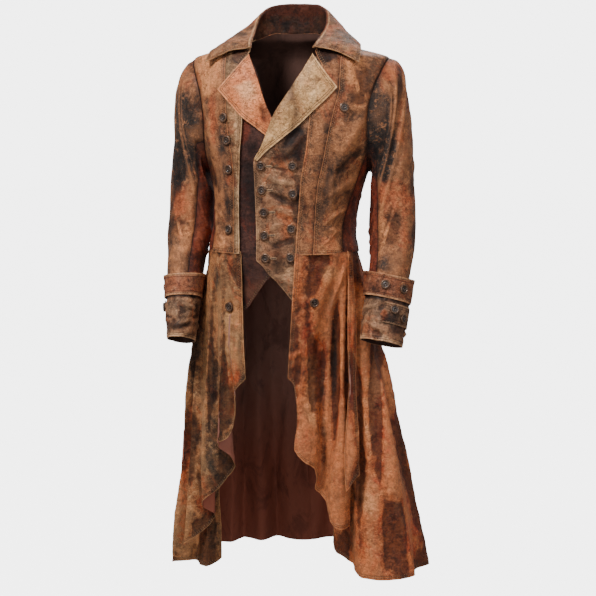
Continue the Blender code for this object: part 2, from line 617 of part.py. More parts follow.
def sleeve_point(side, share, turn, lift):
    """A point on the sleeve: a share of the way down it and a turn round it, outer side first."""
    table = SLEEVE_LEFT if side > 0 else SLEEVE_RIGHT
    x, y, z, lean, half_width, half_depth = np.moveaxis(smooth(table, share), -1, 0)
    lean, pitch = np.radians(lean), np.radians(SLEEVE_PITCH) * ramp(0.6, 1.0, share)
    zero = np.zeros_like(lean)
    out = np.stack([np.cos(lean), zero, np.sin(lean)], axis=-1)
    ahead = np.stack([zero, -np.cos(pitch), np.sin(pitch)], axis=-1)
    wide = ((half_width + lift) * np.cos(turn))[..., None]
    deep = ((half_depth + lift) * np.sin(turn))[..., None]
    tube = np.stack([x, y, z], axis=-1) + out * wide + ahead * deep
    height = ARMHOLE_MIDDLE + (ARMHOLE_HALF_HEIGHT + lift) * np.cos(turn)
    front = armhole_angle(height, ARMHOLE_FORWARD, lift)
    back = armhole_angle(height, -ARMHOLE_BACKWARD, lift)
    angle = np.where(np.sin(turn) > 0, front, back)
    own_side = np.array([side, 1.0, 1.0])
    hole = laid(side * angle, height, SLEEVE_LIFT + 0 * height) * own_side
    away = ramp(0.0, 0.09, share)[..., None]
    return (hole + (tube - hole) * away) * own_side


def sleeve_grid(side, shares, lifts, turns, thickness=LEATHER):
    """The outer and inner points of a part of the sleeve, as columns round the arm and rows down it."""
    turn = np.array(turns)[:, None]
    share, turn, lift = np.broadcast_arrays(np.array(shares)[None, :], turn, np.array(lifts)[None, :])
    faces = np.stack([sleeve_point(side, share, turn, lift), sleeve_point(side, share, turn, lift - thickness)])
    return in_order(faces, -side)


def sleeve(side, name, leather):
    """A two-piece sleeve with its upper and lower cuff and the lower cuff's strap."""
    shares = (0.0, 0.035, 0.08, 0.14, 0.21, 0.30, 0.40, 0.50, 0.60, 0.70, 0.80, 0.87, SLEEVE_END)
    lifts = (0.0,) * len(shares)
    gap = SEAM / 0.09
    upper = np.linspace(-SLEEVE_SEAM + gap, SLEEVE_SEAM - gap, 17)
    under = np.linspace(SLEEVE_SEAM + gap, 2 * math.pi - SLEEVE_SEAM - gap, 10)
    wall(f"sleeve_upper_{name}", sleeve_grid(side, shares, lifts, upper), leather["brown"])
    wall(f"sleeve_under_{name}", sleeve_grid(side, shares, lifts, under), leather["red"])
    turns = np.linspace(0, 2 * math.pi, 24, endpoint=False)
    upper_cuff = CUFF_UPPER_LEFT if side > 0 else CUFF_UPPER_RIGHT
    for part, table in (("upper", upper_cuff), ("lower", CUFF_LOWER)):
        points = sleeve_grid(side, *zip(*table), turns, CUFF_LEATHER)
        wall(f"cuff_{part}_{name}", points, leather["orange"], ring=True)
    top, bottom = STRAP
    shares = (top, (top + bottom) / 2, bottom)
    turns = np.radians(np.linspace(*(STRAP_ENDS_LEFT if side > 0 else STRAP_ENDS_RIGHT), 11))
    wall(f"cuff_strap_{name}", sleeve_grid(side, shares, (STRAP_LIFT,) * 3, turns), leather["tan"])


def skirt_grid(side, table, lift, columns, levels):
    """A skirt's outer and inner points, from the waist seam down bowed threads to its folded hem."""
    hems = np.array([row[1:4] for row in table])
    run = np.concatenate([[0.0], np.cumsum(np.linalg.norm(np.diff(hems, axis=0), axis=-1) + 0.004)])
    rows = [(at, *row) for at, row in zip(run, table)]
    share = np.linspace(0, run[-1], columns)
    angle, x, y, z, bow = np.moveaxis(smooth(rows, share), -1, 0)
    angle = np.radians(angle)
    waist = laid(side * angle, np.full_like(angle, WAIST - SEAM), lift(angle))
    hem = np.stack([side * x, y, z], axis=-1)
    down = np.array(levels)[None, :]
    sway = (down / BOW_HEIGHT) * ((1 - down) / (1 - BOW_HEIGHT)) ** ((1 - BOW_HEIGHT) / BOW_HEIGHT)
    sway *= ramp(0.0, BOW_HEIGHT, down)
    points = waist[:, None, :] + (hem - waist)[:, None, :] * down[..., None]
    points[..., 0] += side * bow[:, None] * sway
    faces = thickened(points if side > 0 else points[::-1])
    inner = laid(side * angle, np.full_like(angle, WAIST - SEAM), lift(angle) - LEATHER)
    faces[1, :, 0] = inner if side > 0 else inner[::-1]
    return faces


def skirts(leather):
    """The four skirts and the strip over the left side."""

    def front_lift(angle):
        return np.maximum(coat_lift(angle), SKIRT_LIFT_FRONT)

    def back_lift(angle):
        return np.full_like(angle, SKIRT_LIFT_BACK)

    def strip_lift(angle):
        return np.full_like(angle, SKIRT_LIFT_STRIP)

    pieces = (
        ("skirt_front_left", 1, SKIRT_FRONT_LEFT, front_lift, 42, "orange"),
        ("skirt_front_right", -1, SKIRT_FRONT_RIGHT, front_lift, 46, "tan"),
        ("skirt_back_left", 1, SKIRT_BACK_LEFT, back_lift, 50, "orange"),
        ("skirt_back_right", -1, SKIRT_BACK_RIGHT, back_lift, 46, "brown"),
        ("side_strip_left", 1, SIDE_STRIP_LEFT, strip_lift, 6, "red"),
    )
    for name, side, table, lift, columns, colour in pieces:
        wall(name, skirt_grid(side, table, lift, columns, SKIRT_LEVELS), leather[colour])


def button(name, cloth, start, towards, material):
    """A turned button with a raised rim, its back just clear of a piece of cloth.

    It lies where a line from a start, in a direction, meets the cloth.
    """
    radius, thick = BUTTON_RADIUS, BUTTON_THICKNESS
    towards = Vector(towards).normalized()
    start = Vector(start)
    aside = towards.orthogonal().normalized()
    upward = towards.cross(aside)
    spots, normals = [], []
    for reach, steps in ((0.0, 1), (0.6, 6), (1.05, 10)):
        for step in range(steps):
            turn = 2 * math.pi * step / steps
            offset = (aside * math.cos(turn) + upward * math.sin(turn)) * radius * reach
            hit, spot, normal, _ = cloth.ray_cast(start + offset, towards, distance=0.5)
            if hit:
                spots.append(spot)
                normals.append(normal)
    normal = sum(normals, Vector()).normalized()
    place = spots[0]
    rise = max((spot - place).dot(normal) for spot in spots)
    profile = ((0.0, 0.0), (radius, 0.0), (radius, 0.7 * thick), (0.74 * radius, thick), (0.0, 0.72 * thick))
    shape = bmesh.new()
    points = [shape.verts.new((r, 0.0, z)) for r, z in profile]
    edges = [shape.edges.new(pair) for pair in zip(points, points[1:])]
    bmesh.ops.spin(
        shape, geom=points + edges, cent=(0, 0, 0), axis=(0, 0, 1), angle=2 * math.pi, steps=10, use_merge=True
    )
    bmesh.ops.remove_doubles(shape, verts=shape.verts, dist=1e-6)
    bmesh.ops.recalc_face_normals(shape, faces=shape.faces)
    mesh = bpy.data.meshes.new(name)
    shape.to_mesh(mesh)
    shape.free()
    thing = piece(name, mesh, material)
    thing.location = place + normal * (rise + SEAM)
    thing.rotation_mode = "QUATERNION"
    thing.rotation_quaternion = normal.to_track_quat("Z", "Y")


def buttons(horn):
    """Every button: on the waistcoat, the coat fronts, the skirts and the cuffs."""
    cloth = bpy.data.objects
    bpy.context.view_layer.update()
    backward = (0.0, 1.0, 0.0)
    rows = (
        ("vest_button_left", VEST_BUTTONS_LEFT, "vest_front_left"),
        ("vest_button_right", VEST_BUTTONS_RIGHT, "vest_front_left"),
        ("coat_button_right", COAT_BUTTONS_RIGHT, "front_right"),
        ("coat_button_left", (COAT_BUTTON_LEFT,), "front_left"),
        ("skirt_button_left", (SKIRT_BUTTON_LEFT,), "skirt_front_left"),
        ("skirt_button_right", (SKIRT_BUTTON_RIGHT,), "skirt_front_right"),
    )
    for name, places, under in rows:
        for number, (x, height) in enumerate(places, 1):
            button(f"{name}_{number}", cloth[under], (x, -0.3, height), backward, horn)
    sleeves = (
        (1, "left", CUFF_BUTTONS_LEFT, STRAP_BUTTONS_LEFT),
        (-1, "right", CUFF_BUTTONS_RIGHT, STRAP_BUTTONS_RIGHT),
    )
    for side, where, on_cuff, on_strap in sleeves:
        for part, places in (("cuff_upper", on_cuff), ("cuff_strap", on_strap)):
            for name, share, turn in places:
                near = sleeve_grid(side, (share,) * 2, (0.05, 0.0), (math.radians(turn),))[0, 0]
                button(f"cuff_button_{name}_{where}", cloth[f"{part}_{where}"], near[0], near[1] - near[0], horn)


def main():
    """Clears the scene and makes every piece."""
    for thing in list(bpy.data.objects):
        bpy.data.objects.remove(thing)
    leather = {
        "tan": finish("Tan leather", (0.36, 0.19, 0.09), 0.55),
        "brown": finish("Brown leather", (0.24, 0.13, 0.07), 0.6),
        "red": finish("Red brown leather", (0.27, 0.09, 0.045), 0.55),
        "orange": finish("Orange leather", (0.42, 0.16, 0.06), 0.55),
        "grey": finish("Grey brown leather", (0.16, 0.12, 0.085), 0.6),
    }
    horn = finish("Dark horn", (0.05, 0.035, 0.025), 0.35)
    coat_body(1, "left", EDGE_LEFT, BAND_LEFT, leather)
    coat_body(-1, "right", EDGE_RIGHT, BAND_RIGHT, leather)
    waistcoat(leather)
    lapel(1, "left", LAPEL_LEFT, leather["tan"])
    lapel(-1, "right", LAPEL_RIGHT, leather["orange"])
    collar(leather)
    sleeve(1, "left", leather)
    sleeve(-1, "right", leather)
    skirts(leather)
    buttons(horn)


main()
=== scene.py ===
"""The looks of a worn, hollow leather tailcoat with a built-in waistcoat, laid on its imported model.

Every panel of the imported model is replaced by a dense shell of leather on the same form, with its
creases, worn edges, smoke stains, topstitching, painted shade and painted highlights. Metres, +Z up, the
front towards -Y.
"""

from __future__ import annotations

import json
import logging
import math
import sys
from collections.abc import Callable, Iterator
from dataclasses import dataclass, field
from enum import Enum

import bpy
import numpy as np
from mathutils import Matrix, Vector

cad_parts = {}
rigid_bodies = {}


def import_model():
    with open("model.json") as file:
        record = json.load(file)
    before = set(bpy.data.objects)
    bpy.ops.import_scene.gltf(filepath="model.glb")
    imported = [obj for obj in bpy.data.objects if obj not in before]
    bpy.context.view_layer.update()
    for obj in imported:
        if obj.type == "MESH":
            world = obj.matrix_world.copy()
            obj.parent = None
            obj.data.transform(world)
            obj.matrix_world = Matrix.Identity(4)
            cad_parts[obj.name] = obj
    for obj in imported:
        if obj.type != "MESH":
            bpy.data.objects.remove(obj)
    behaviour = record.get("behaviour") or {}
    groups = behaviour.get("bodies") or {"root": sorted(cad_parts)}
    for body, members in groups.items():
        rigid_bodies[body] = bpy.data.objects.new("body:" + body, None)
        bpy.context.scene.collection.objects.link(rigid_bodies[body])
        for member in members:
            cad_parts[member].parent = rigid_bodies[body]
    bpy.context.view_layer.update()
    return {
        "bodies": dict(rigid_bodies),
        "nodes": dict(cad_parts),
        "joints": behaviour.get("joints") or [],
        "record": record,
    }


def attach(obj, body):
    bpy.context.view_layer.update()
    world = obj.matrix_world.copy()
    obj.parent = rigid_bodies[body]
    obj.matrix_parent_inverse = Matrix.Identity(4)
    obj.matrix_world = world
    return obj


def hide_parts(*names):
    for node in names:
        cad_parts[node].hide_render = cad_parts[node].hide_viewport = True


LOG = logging.getLogger("tailcoat")
Grid = np.ndarray
Place = Grid | float
Table = tuple[tuple[float, ...], ...]
Line = Callable[[Grid], Grid]
Surface = Callable[[Grid, Grid], Grid]
Colour = tuple[float, float, float]
Socket = bpy.types.NodeSocket
Given = Socket | float | Colour

# The leather's thickness
LEATHER = 0.0016
CUFF_LEATHER = 0.0028

# Heights: the waist seam, the tops of the bands and fronts, the shoulders' tips, the side seams' tops
WAIST = -0.476
NECK = -0.001
FRONT_TOP = -0.0185
SHOULDER_TIP = -0.042
CHEST_JOIN = -0.245
BACK_JOIN = -0.200

# The armhole, as an ellipse in side view, and how far the back runs on under the sleeve, in radians
ARMHOLE_MIDDLE = -0.168
ARMHOLE_HALF_HEIGHT = 0.126
ARMHOLE_FORWARD = 0.066
ARMHOLE_BACKWARD = 0.074
ARMHOLE_TUCK = 0.03

# The figure's form: each section's height, sideways shift, half width, and depth to front and back
ROUNDNESS = 2.3
SECTIONS = (
    # height, shift, half width, front, back
    (0.030, 0.000, 0.062, 0.046, 0.054),
    (0.018, 0.000, 0.068, 0.050, 0.060),
    (0.000, 0.000, 0.078, 0.058, 0.068),
    (-0.014, 0.000, 0.120, 0.070, 0.082),
    (-0.028, 0.000, 0.175, 0.080, 0.094),
    (-0.042, 0.000, 0.222, 0.090, 0.102),
    (-0.070, 0.000, 0.225, 0.102, 0.110),
    (-0.110, 0.000, 0.220, 0.114, 0.116),
    (-0.160, 0.000, 0.211, 0.123, 0.119),
    (-0.210, 0.000, 0.204, 0.128, 0.118),
    (-0.260, -0.002, 0.191, 0.130, 0.114),
    (-0.310, -0.005, 0.174, 0.130, 0.110),
    (-0.360, -0.010, 0.164, 0.128, 0.105),
    (-0.410, -0.014, 0.160, 0.125, 0.100),
    (-0.450, -0.016, 0.165, 0.124, 0.101),
    (-0.480, -0.016, 0.171, 0.1245, 0.105),
    (-0.520, -0.015, 0.176, 0.1195, 0.109),
    (-0.560, -0.014, 0.180, 0.1130, 0.112),
    (-0.640, -0.012, 0.188, 0.1030, 0.118),
)

# How far the coat's layers stand off the form
COAT_LIFT_SIDE = 0.0030
COAT_LIFT_FRONT = 0.0095
COAT_LIFT_TURN = (math.radians(34), math.radians(64))
VEST_LIFT_RIGHT = 0.0020
VEST_LIFT_LEFT = 0.0050
VEST_LIFT_ROLL = 0.0042

# Front edges and seams, as height and distance from the coat's middle plane
EDGE_LEFT = ((-0.001, 0.0776), (-0.006, 0.0776), (-0.0125, 0.0770), (-0.030, 0.0735), (-0.044, 0.082),
             (-0.060, 0.091), (-0.100, 0.087), (-0.173, 0.070), (-0.238, 0.063), (-0.311, 0.051),
             (-0.375, 0.045), (-0.445, 0.039), (-0.477, 0.038))
BAND_LEFT = ((-0.001, 0.130), (-0.030, 0.130), (-0.103, 0.130), (-0.157, 0.119), (-0.216, 0.107),
             (-0.273, 0.096), (-0.320, 0.085), (-0.400, 0.077), (-0.477, 0.074))
EDGE_RIGHT = ((-0.001, 0.0776), (-0.006, 0.0776), (-0.0125, 0.0770), (-0.030, 0.0735), (-0.044, 0.083),
              (-0.060, 0.093), (-0.100, 0.090), (-0.184, 0.080), (-0.268, 0.086), (-0.400, 0.088),
              (-0.477, 0.088))
BAND_RIGHT = ((-0.001, 0.128), (-0.030, 0.128), (-0.150, 0.120), (-0.229, 0.110), (-0.258, 0.104),
              (-0.313, 0.100), (-0.434, 0.101), (-0.477, 0.101))
# Seams at the sides, as height and angle round the form in degrees
SIDE_SEAM = ((-0.245, 69.6), (-0.323, 71.0), (-0.389, 65.5), (-0.477, 60.0))
BACK_SEAM = ((-0.200, 124.3), (-0.300, 127.0), (-0.400, 131.0), (-0.477, 132.0))

# The waistcoat's fronts: edges as height and distance, hems as share of the way across and height
VEST_EDGE_LEFT = ((-0.040, 0.066), (-0.087, 0.040), (-0.129, 0.013), (-0.166, -0.010), (-0.205, -0.024),
                  (-0.243, -0.036), (-0.272, -0.055), (-0.330, -0.053), (-0.444, -0.050), (-0.600, -0.049))
VEST_SIDE_LEFT = ((-0.040, 0.112), (-0.160, 0.104), (-0.273, 0.088), (-0.400, 0.070), (-0.600, 0.064))
VEST_HEM_LEFT = ((0.00, -0.490), (0.12, -0.502), (0.20, -0.517), (0.68, -0.586),
                 (0.90, -0.611), (1.00, -0.614))
VEST_SIDE_RIGHT = ((-0.040, 0.112), (-0.160, 0.106), (-0.260, 0.099), (-0.400, 0.098), (-0.610, 0.098))
VEST_EDGE_RIGHT = ((-0.040, 0.073), (-0.070, 0.056), (-0.103, 0.043), (-0.136, 0.032), (-0.173, 0.013),
                   (-0.200, -0.004), (-0.240, -0.024), (-0.300, -0.032), (-0.470, -0.030), (-0.610, -0.028))
VEST_HEM_RIGHT = ((0.00, -0.482), (0.15, -0.498), (0.40, -0.535), (0.64, -0.576),
                  (0.84, -0.604), (1.00, -0.609))

# Lapels: where they roll over and where they end, as distance and height, from the gorge down
LAPEL_LEFT = (
    # roll x, roll height, outer x, outer height, roll lift, outer lift
    (0.0690, -0.0370, 0.126, -0.107, 0.0118, 0.0150),
    (0.0535, -0.0660, 0.106, -0.130, 0.0114, 0.0148),
    (0.0310, -0.1010, 0.079, -0.157, 0.0112, 0.0146),
    (0.0090, -0.1360, 0.047, -0.189, 0.0114, 0.0142),
    (-0.0090, -0.1660, 0.018, -0.213, 0.0114, 0.0140),
    (-0.0230, -0.2020, -0.004, -0.231, 0.0114, 0.0135),
    (-0.0355, -0.2360, -0.023, -0.246, 0.0112, 0.0124),
    (-0.0530, -0.2640, -0.044, -0.267, 0.0098, 0.0108),
)
LAPEL_RIGHT = (
    (0.0740, -0.0380, 0.137, -0.112, 0.0118, 0.0150),
    (0.0610, -0.0630, 0.122, -0.128, 0.0108, 0.0148),
    (0.0480, -0.0920, 0.103, -0.149, 0.0092, 0.0140),
    (0.0370, -0.1230, 0.080, -0.172, 0.0072, 0.0125),
    (0.0250, -0.1520, 0.053, -0.192, 0.0068, 0.0082),
    (0.0120, -0.1760, 0.030, -0.209, 0.0062, 0.0066),
    (0.0000, -0.1960, 0.008, -0.223, 0.0056, 0.0060),
)

# The collar from the centre back to its front end: the fold and the fall's edge
COLLAR = (
    # share, fold x, fold y, fold z, edge x, edge y, edge z
    (0.00, 0.000, 0.078, 0.0850, 0.000, 0.106, -0.012),
    (0.22, 0.042, 0.068, 0.0835, 0.062, 0.100, -0.014),
    (0.45, 0.076, 0.038, 0.0660, 0.124, 0.068, -0.012),
    (0.65, 0.084, 0.004, 0.0370, 0.156, 0.012, -0.006),
    (0.85, 0.082, -0.038, 0.0130, 0.170, -0.044, -0.018),
    (0.93, 0.079, -0.069, 0.0000, 0.174, -0.070, -0.0290),
    (1.00, 0.0745, -0.0930, -0.0150, 0.175, -0.095, -0.050),
)
COLLAR_FOLD = 0.0054
COLLAR_SHOULDER = 0.65
COLLAR_DROP = 0.029
NAPE_RISE = 0.017

# Each sleeve's rings down the arm: middle, lean of the ring in degrees, and its half sizes
SLEEVE_LEFT = (
    # share, x, y, z, lean, half width, half depth
    (0.00, 0.2070, 0.004, -0.1690, 80.0, 0.1260, 0.0690),
    (0.08, 0.2132, 0.004, -0.1725, 78.0, 0.1283, 0.0680),
    (0.16, 0.2199, 0.005, -0.1845, 74.6, 0.1250, 0.0660),
    (0.24, 0.2245, 0.006, -0.2035, 70.9, 0.1148, 0.0640),
    (0.32, 0.2265, 0.007, -0.2320, 65.2, 0.1013, 0.0620),
    (0.42, 0.2285, 0.008, -0.2710, 56.8, 0.0849, 0.0600),
    (0.52, 0.2310, 0.008, -0.3275, 43.8, 0.0686, 0.0580),
    (0.62, 0.2335, 0.005, -0.3950, 24.0, 0.0575, 0.0560),
    (0.72, 0.2350, -0.004, -0.4550, 6.0, 0.0520, 0.0535),
    (0.82, 0.2330, -0.020, -0.5150, -9.0, 0.0470, 0.0515),
    (0.90, 0.2310, -0.042, -0.5770, -9.5, 0.0465, 0.0490),
    (1.00, 0.2245, -0.078, -0.6740, -8.0, 0.0440, 0.0450),
)
SLEEVE_RIGHT = (
    (0.00, 0.2070, 0.004, -0.1690, 80.0, 0.1260, 0.0690),
    (0.08, 0.2168, 0.004, -0.1725, 79.5, 0.1276, 0.0680),
    (0.16, 0.2235, 0.005, -0.1845, 76.2, 0.1241, 0.0660),
    (0.24, 0.2273, 0.006, -0.2035, 72.2, 0.1139, 0.0640),
    (0.32, 0.2293, 0.007, -0.2320, 66.6, 0.1002, 0.0620),
    (0.42, 0.2290, 0.008, -0.2710, 56.8, 0.0849, 0.0600),
    (0.52, 0.2325, 0.007, -0.3275, 43.8, 0.0670, 0.0580),
    (0.62, 0.2365, 0.003, -0.3950, 24.0, 0.0545, 0.0565),
    (0.72, 0.2410, -0.008, -0.4550, 8.0, 0.0485, 0.0545),
    (0.82, 0.2422, -0.026, -0.5150, -5.0, 0.0432, 0.0525),
    (0.90, 0.2408, -0.054, -0.5800, -5.0, 0.0352, 0.0505),
    (1.00, 0.2365, -0.090, -0.6780, -2.0, 0.0265, 0.0480),
)
SLEEVE_PITCH = 16.0
SLEEVE_END = 0.915
SLEEVE_SEAM = math.radians(118)
SLEEVE_LIFT = 0.0038
SLEEVE_BLEND = 0.09

# Cuffs: share of the way down the sleeve, and distance outside it
CUFF_UPPER_LEFT = ((0.838, 0.0120), (0.855, 0.0108), (0.880, 0.0090), (0.904, 0.0076))
CUFF_UPPER_RIGHT = ((0.848, 0.0082), (0.864, 0.0080), (0.884, 0.0078), (0.906, 0.0077))
CUFF_LOWER = ((0.896, 0.0041), (0.930, 0.0044), (0.965, 0.0044), (1.000, 0.0036))
STRAP = (0.914, 0.960)
STRAP_LIFT = 0.0067
# Where each strap ends. The right arm is turned further inwards, so its strap lies further back.
STRAP_ENDS_LEFT = (-75.0, 84.0)
STRAP_ENDS_RIGHT = (-140.0, 30.0)

# Skirts on each side: a row is a crest, hollow, turn or edge, from the front round to the back
SKIRT_FRONT_LEFT = (
    # angle at the waist, hem distance, hem y, hem z, and the bow where there is one
    (15.3, 0.017, -0.110, -0.755),
    (19.0, 0.031, -0.108, -0.772),
    (23.0, 0.037, -0.101, -0.840),
    (28.0, 0.0365, -0.101, -0.922),
    (41.0, 0.050, -0.097, -0.944, -0.010),
    (53.0, 0.068, -0.085, -0.962, -0.024),
    (55.5, 0.072, -0.070, -0.990, -0.018),
    (57.5, 0.068, -0.057, -1.015, -0.006),
    (59.0, 0.082, -0.048, -1.030),
    (60.5, 0.098, -0.053, -1.047),
    (62.5, 0.108, -0.067, -1.085),
    (65.5, 0.123, -0.074, -1.102),
    (68.5, 0.137, -0.066, -1.105),
    (72.0, 0.148, -0.048, -1.100),
)
SKIRT_FRONT_RIGHT = (
    (20.8, 0.082, -0.105, -0.761),
    (27.0, 0.110, -0.101, -0.796),
    (30.0, 0.116, -0.082, -0.870),
    (33.0, 0.132, -0.082, -0.903),
    (38.0, 0.154, -0.084, -0.916),
    (40.5, 0.156, -0.068, -0.926),
    (42.5, 0.132, -0.052, -0.950),
    (44.5, 0.127, -0.039, -0.975),
    (47.0, 0.138, -0.034, -0.998),
    (52.0, 0.162, -0.044, -1.029),
    (57.0, 0.190, -0.048, -1.050),
    (60.0, 0.206, -0.041, -1.067),
    (62.0, 0.204, -0.027, -1.077),
    (64.0, 0.184, -0.014, -1.094),
    (66.0, 0.186, -0.002, -1.110),
    (70.0, 0.214, -0.014, -1.143),
    (78.0, 0.252, -0.028, -1.167, 0.010),
)
SKIRT_BACK_LEFT = (
    (69.0, 0.087, 0.040, -1.163),
    (70.5, 0.100, 0.018, -1.180),
    (72.0, 0.127, -0.006, -1.188),
    (73.5, 0.152, -0.026, -1.193),
    (75.0, 0.164, -0.046, -1.206),
    (77.5, 0.182, -0.062, -1.216),
    (81.0, 0.222, -0.068, -1.218),
    (85.0, 0.266, -0.058, -1.216),
    (88.0, 0.296, -0.032, -1.210, 0.004),
    (91.0, 0.294, 0.004, -1.206, 0.004),
    (96.0, 0.318, 0.076, -1.208, 0.006),
    (103.0, 0.290, 0.112, -1.208, 0.006),
    (110.0, 0.288, 0.160, -1.208, 0.004),
    (119.0, 0.240, 0.168, -1.206),
    (128.0, 0.222, 0.220, -1.205),
    (138.0, 0.170, 0.200, -1.203),
    (148.0, 0.145, 0.250, -1.200),
    (157.0, 0.096, 0.216, -1.200),
    (167.0, 0.058, 0.258, -1.200),
    (180.0, -0.0009, 0.226, -1.200),
)
SKIRT_BACK_RIGHT = (
    (66.0, 0.179, 0.044, -1.213),
    (70.0, 0.188, 0.024, -1.222),
    (74.0, 0.206, 0.003, -1.228),
    (78.0, 0.226, 0.012, -1.225, 0.004),
    (81.0, 0.238, 0.030, -1.219, 0.010),
    (84.5, 0.262, 0.010, -1.217, 0.016),
    (89.0, 0.286, -0.008, -1.217, 0.022),
    (93.0, 0.292, 0.024, -1.215, 0.020),
    (99.0, 0.268, 0.062, -1.212, 0.014),
    (106.0, 0.282, 0.106, -1.210, 0.010),
    (114.0, 0.240, 0.128, -1.210, 0.004),
    (122.0, 0.236, 0.180, -1.208),
    (131.0, 0.190, 0.172, -1.206),
    (141.0, 0.170, 0.226, -1.204),
    (151.0, 0.120, 0.196, -1.202),
    (161.0, 0.088, 0.246, -1.200),
    (170.0, 0.044, 0.214, -1.200),
    (180.0, -0.0009, 0.226, -1.200),
)
SIDE_STRIP_LEFT = (
    (65.5, 0.148, -0.082, -1.014),
    (68.0, 0.157, -0.093, -1.000),
    (71.0, 0.168, -0.091, -0.986),
    (74.0, 0.178, -0.077, -0.977),
)
BOW_HEIGHT = 0.30
WAIST_TUCK = 0.005
THREAD_GAP = 0.004
SKIRT_LIFT_BACK = 0.0010
SKIRT_LIFT_FRONT = 0.0034
SKIRT_LIFT_STRIP = 0.0055

# How the folds and the skin of the leather are worked
FOLD_FULL = 0.0024
SEAM_VALLEY = 0.0007
SEAM_REACH = 0.0035
SEAM_CALM = (-0.002, 0.012)
BUTTON_CALM = 0.017
SHARP_EDGE = math.radians(55)
SAME_PLACE = 1e-5
# How far the painted shade beside a sewn seam reaches
SEAM_SHADE_REACH = 0.012


class Side(Enum):
    """The wearer's left or right."""

    LEFT = 1
    RIGHT = -1

    @property
    def word(self) -> str:
        """The side's name, as nodes and pieces carry it."""
        return self.name.lower()


LEFT, RIGHT = Side


class Border(Enum):
    """A border of a panel, in its own directions across and down."""

    START = "start"
    END = "end"
    TOP = "top"
    BOTTOM = "bottom"


START, END, TOP, BOTTOM = Border


def smooth(table: Table, at: Place) -> Grid:
    """Reads a table's later columns at places along its first, on a curve that never overshoots.

    Args:
        table: rows whose first number is the place.
        at: the places to read.

    Returns:
        The later columns at those places, as a last axis.
    """
    rows = np.array(sorted(table), float)
    place, values = rows[:, 0], rows[:, 1:]
    slope = gentle_slopes(place, values)
    at = np.clip(np.asarray(at, float), place[0], place[-1])
    low = np.clip(np.searchsorted(place, at, side="right") - 1, 0, len(place) - 2)
    step = (place[low + 1] - place[low])[..., None]
    t = (at - place[low])[..., None] / step
    return eased(values[low], values[low + 1], slope[low] * step, slope[low + 1] * step, t)


def eased(first: Grid, last: Grid, rise: Grid, fall: Grid, t: Grid) -> Grid:
    """A smooth way from a first row to a last one, with the slopes that it leaves and arrives at."""
    return (
        first * (1 + 2 * t) * (1 - t) ** 2 + last * t**2 * (3 - 2 * t)
        + rise * t * (1 - t) ** 2 + fall * t**2 * (t - 1)
    )


def gentle_slopes(place: Grid, values: Grid) -> Grid:
    """The slopes at each row of a table that keep the curve through it from overshooting."""
    steep = np.diff(values, axis=0) / np.diff(place).reshape(-1, *[1] * (values.ndim - 1))
    before, after = steep[:-1], steep[1:]
    same_way = before * after > 0
    total = np.where(same_way, before + after, 1.0)
    return np.concatenate([steep[:1], np.where(same_way, 2 * before * after / total, 0.0), steep[-1:]])


def line(table: Table, at: Place) -> Grid:
    """Reads a table of two columns."""
    return smooth(table, at)[..., 0]


def ramp(low: float, high: float, at: Place) -> Grid:
    """Rises smoothly from 0 at low to 1 at high."""
    t = np.clip((np.asarray(at, float) - low) / (high - low), 0, 1)
    return t * t * (3 - 2 * t)


def unit(vectors: Grid) -> Grid:
    """Vectors of length 1."""
    return vectors / np.maximum(np.linalg.norm(vectors, axis=-1, keepdims=True), 1e-12)


def run_along(points: Grid, gap: float = 0.0) -> Grid:
    """The distance along a line of points, from 0 at its first, with a gap added at each step."""
    return np.concatenate([[0.0], np.cumsum(np.linalg.norm(np.diff(points, axis=0), axis=-1) + gap)])


def form(angle: Place, height: Place) -> Grid:
    """A point on the figure's form, at an angle from the front towards the wearer's left."""
    angle, height = np.broadcast_arrays(np.asarray(angle, float), np.asarray(height, float))
    shift, half, front, back = np.moveaxis(smooth(SECTIONS, height), -1, 0)
    side, ahead = np.sin(angle), np.cos(angle)
    power = 2 / ROUNDNESS
    x = shift + half * np.sign(side) * np.abs(side) ** power
    y = -np.where(ahead > 0, front, back) * np.sign(ahead) * np.abs(ahead) ** power
    return np.stack([x, y, height], axis=-1)


def laid(angle: Grid, height: Grid, lift: Place) -> Grid:
    """A point of the form, moved out along its normal by what lies under it."""
    turn, drop = 0.02, 0.003
    across = form(angle + turn, height) - form(angle - turn, height)
    down = form(angle, height - drop) - form(angle, height + drop)
    return form(angle, height) + unit(np.cross(down, across)) * np.asarray(lift)[..., None]


def angle_at(x: Grid, height: Grid) -> Grid:
    """The angle at which the form's front lies this far to the wearer's left."""
    shift, half = np.moveaxis(smooth(SECTIONS, height), -1, 0)[:2]
    share = np.clip((x - shift) / half, -1, 1)
    return np.arcsin(np.sign(share) * np.abs(share) ** (ROUNDNESS / 2))


def armhole_angle(height: Grid, reach: float, lift: Place = 0.0) -> Grid:
    """The angle of the armhole's front edge, for a positive reach, or of its back edge."""
    depth = smooth(SECTIONS, height)[..., 2 if reach > 0 else 3]
    share = np.clip((height - ARMHOLE_MIDDLE) / (ARMHOLE_HALF_HEIGHT + lift), -1, 1)
    y = (abs(reach) + lift) * np.sqrt(1 - share**2)
    turn = np.arccos(np.clip(y / depth, 0, 1) ** (ROUNDNESS / 2))
    return turn if reach > 0 else math.pi - turn


def armhole_floor(angle: Grid) -> Grid:
    """The height of the armhole's lower edge at an angle round the form."""
    height = np.full_like(angle, ARMHOLE_MIDDLE - ARMHOLE_HALF_HEIGHT)
    for _ in range(12):
        y = form(angle, height)[..., 1]
        reach = np.where(y < 0, ARMHOLE_FORWARD, ARMHOLE_BACKWARD)
        share = np.clip(np.abs(y) / reach, 0, 1)
        height = ARMHOLE_MIDDLE - ARMHOLE_HALF_HEIGHT * np.sqrt(1 - share**2)
    return height


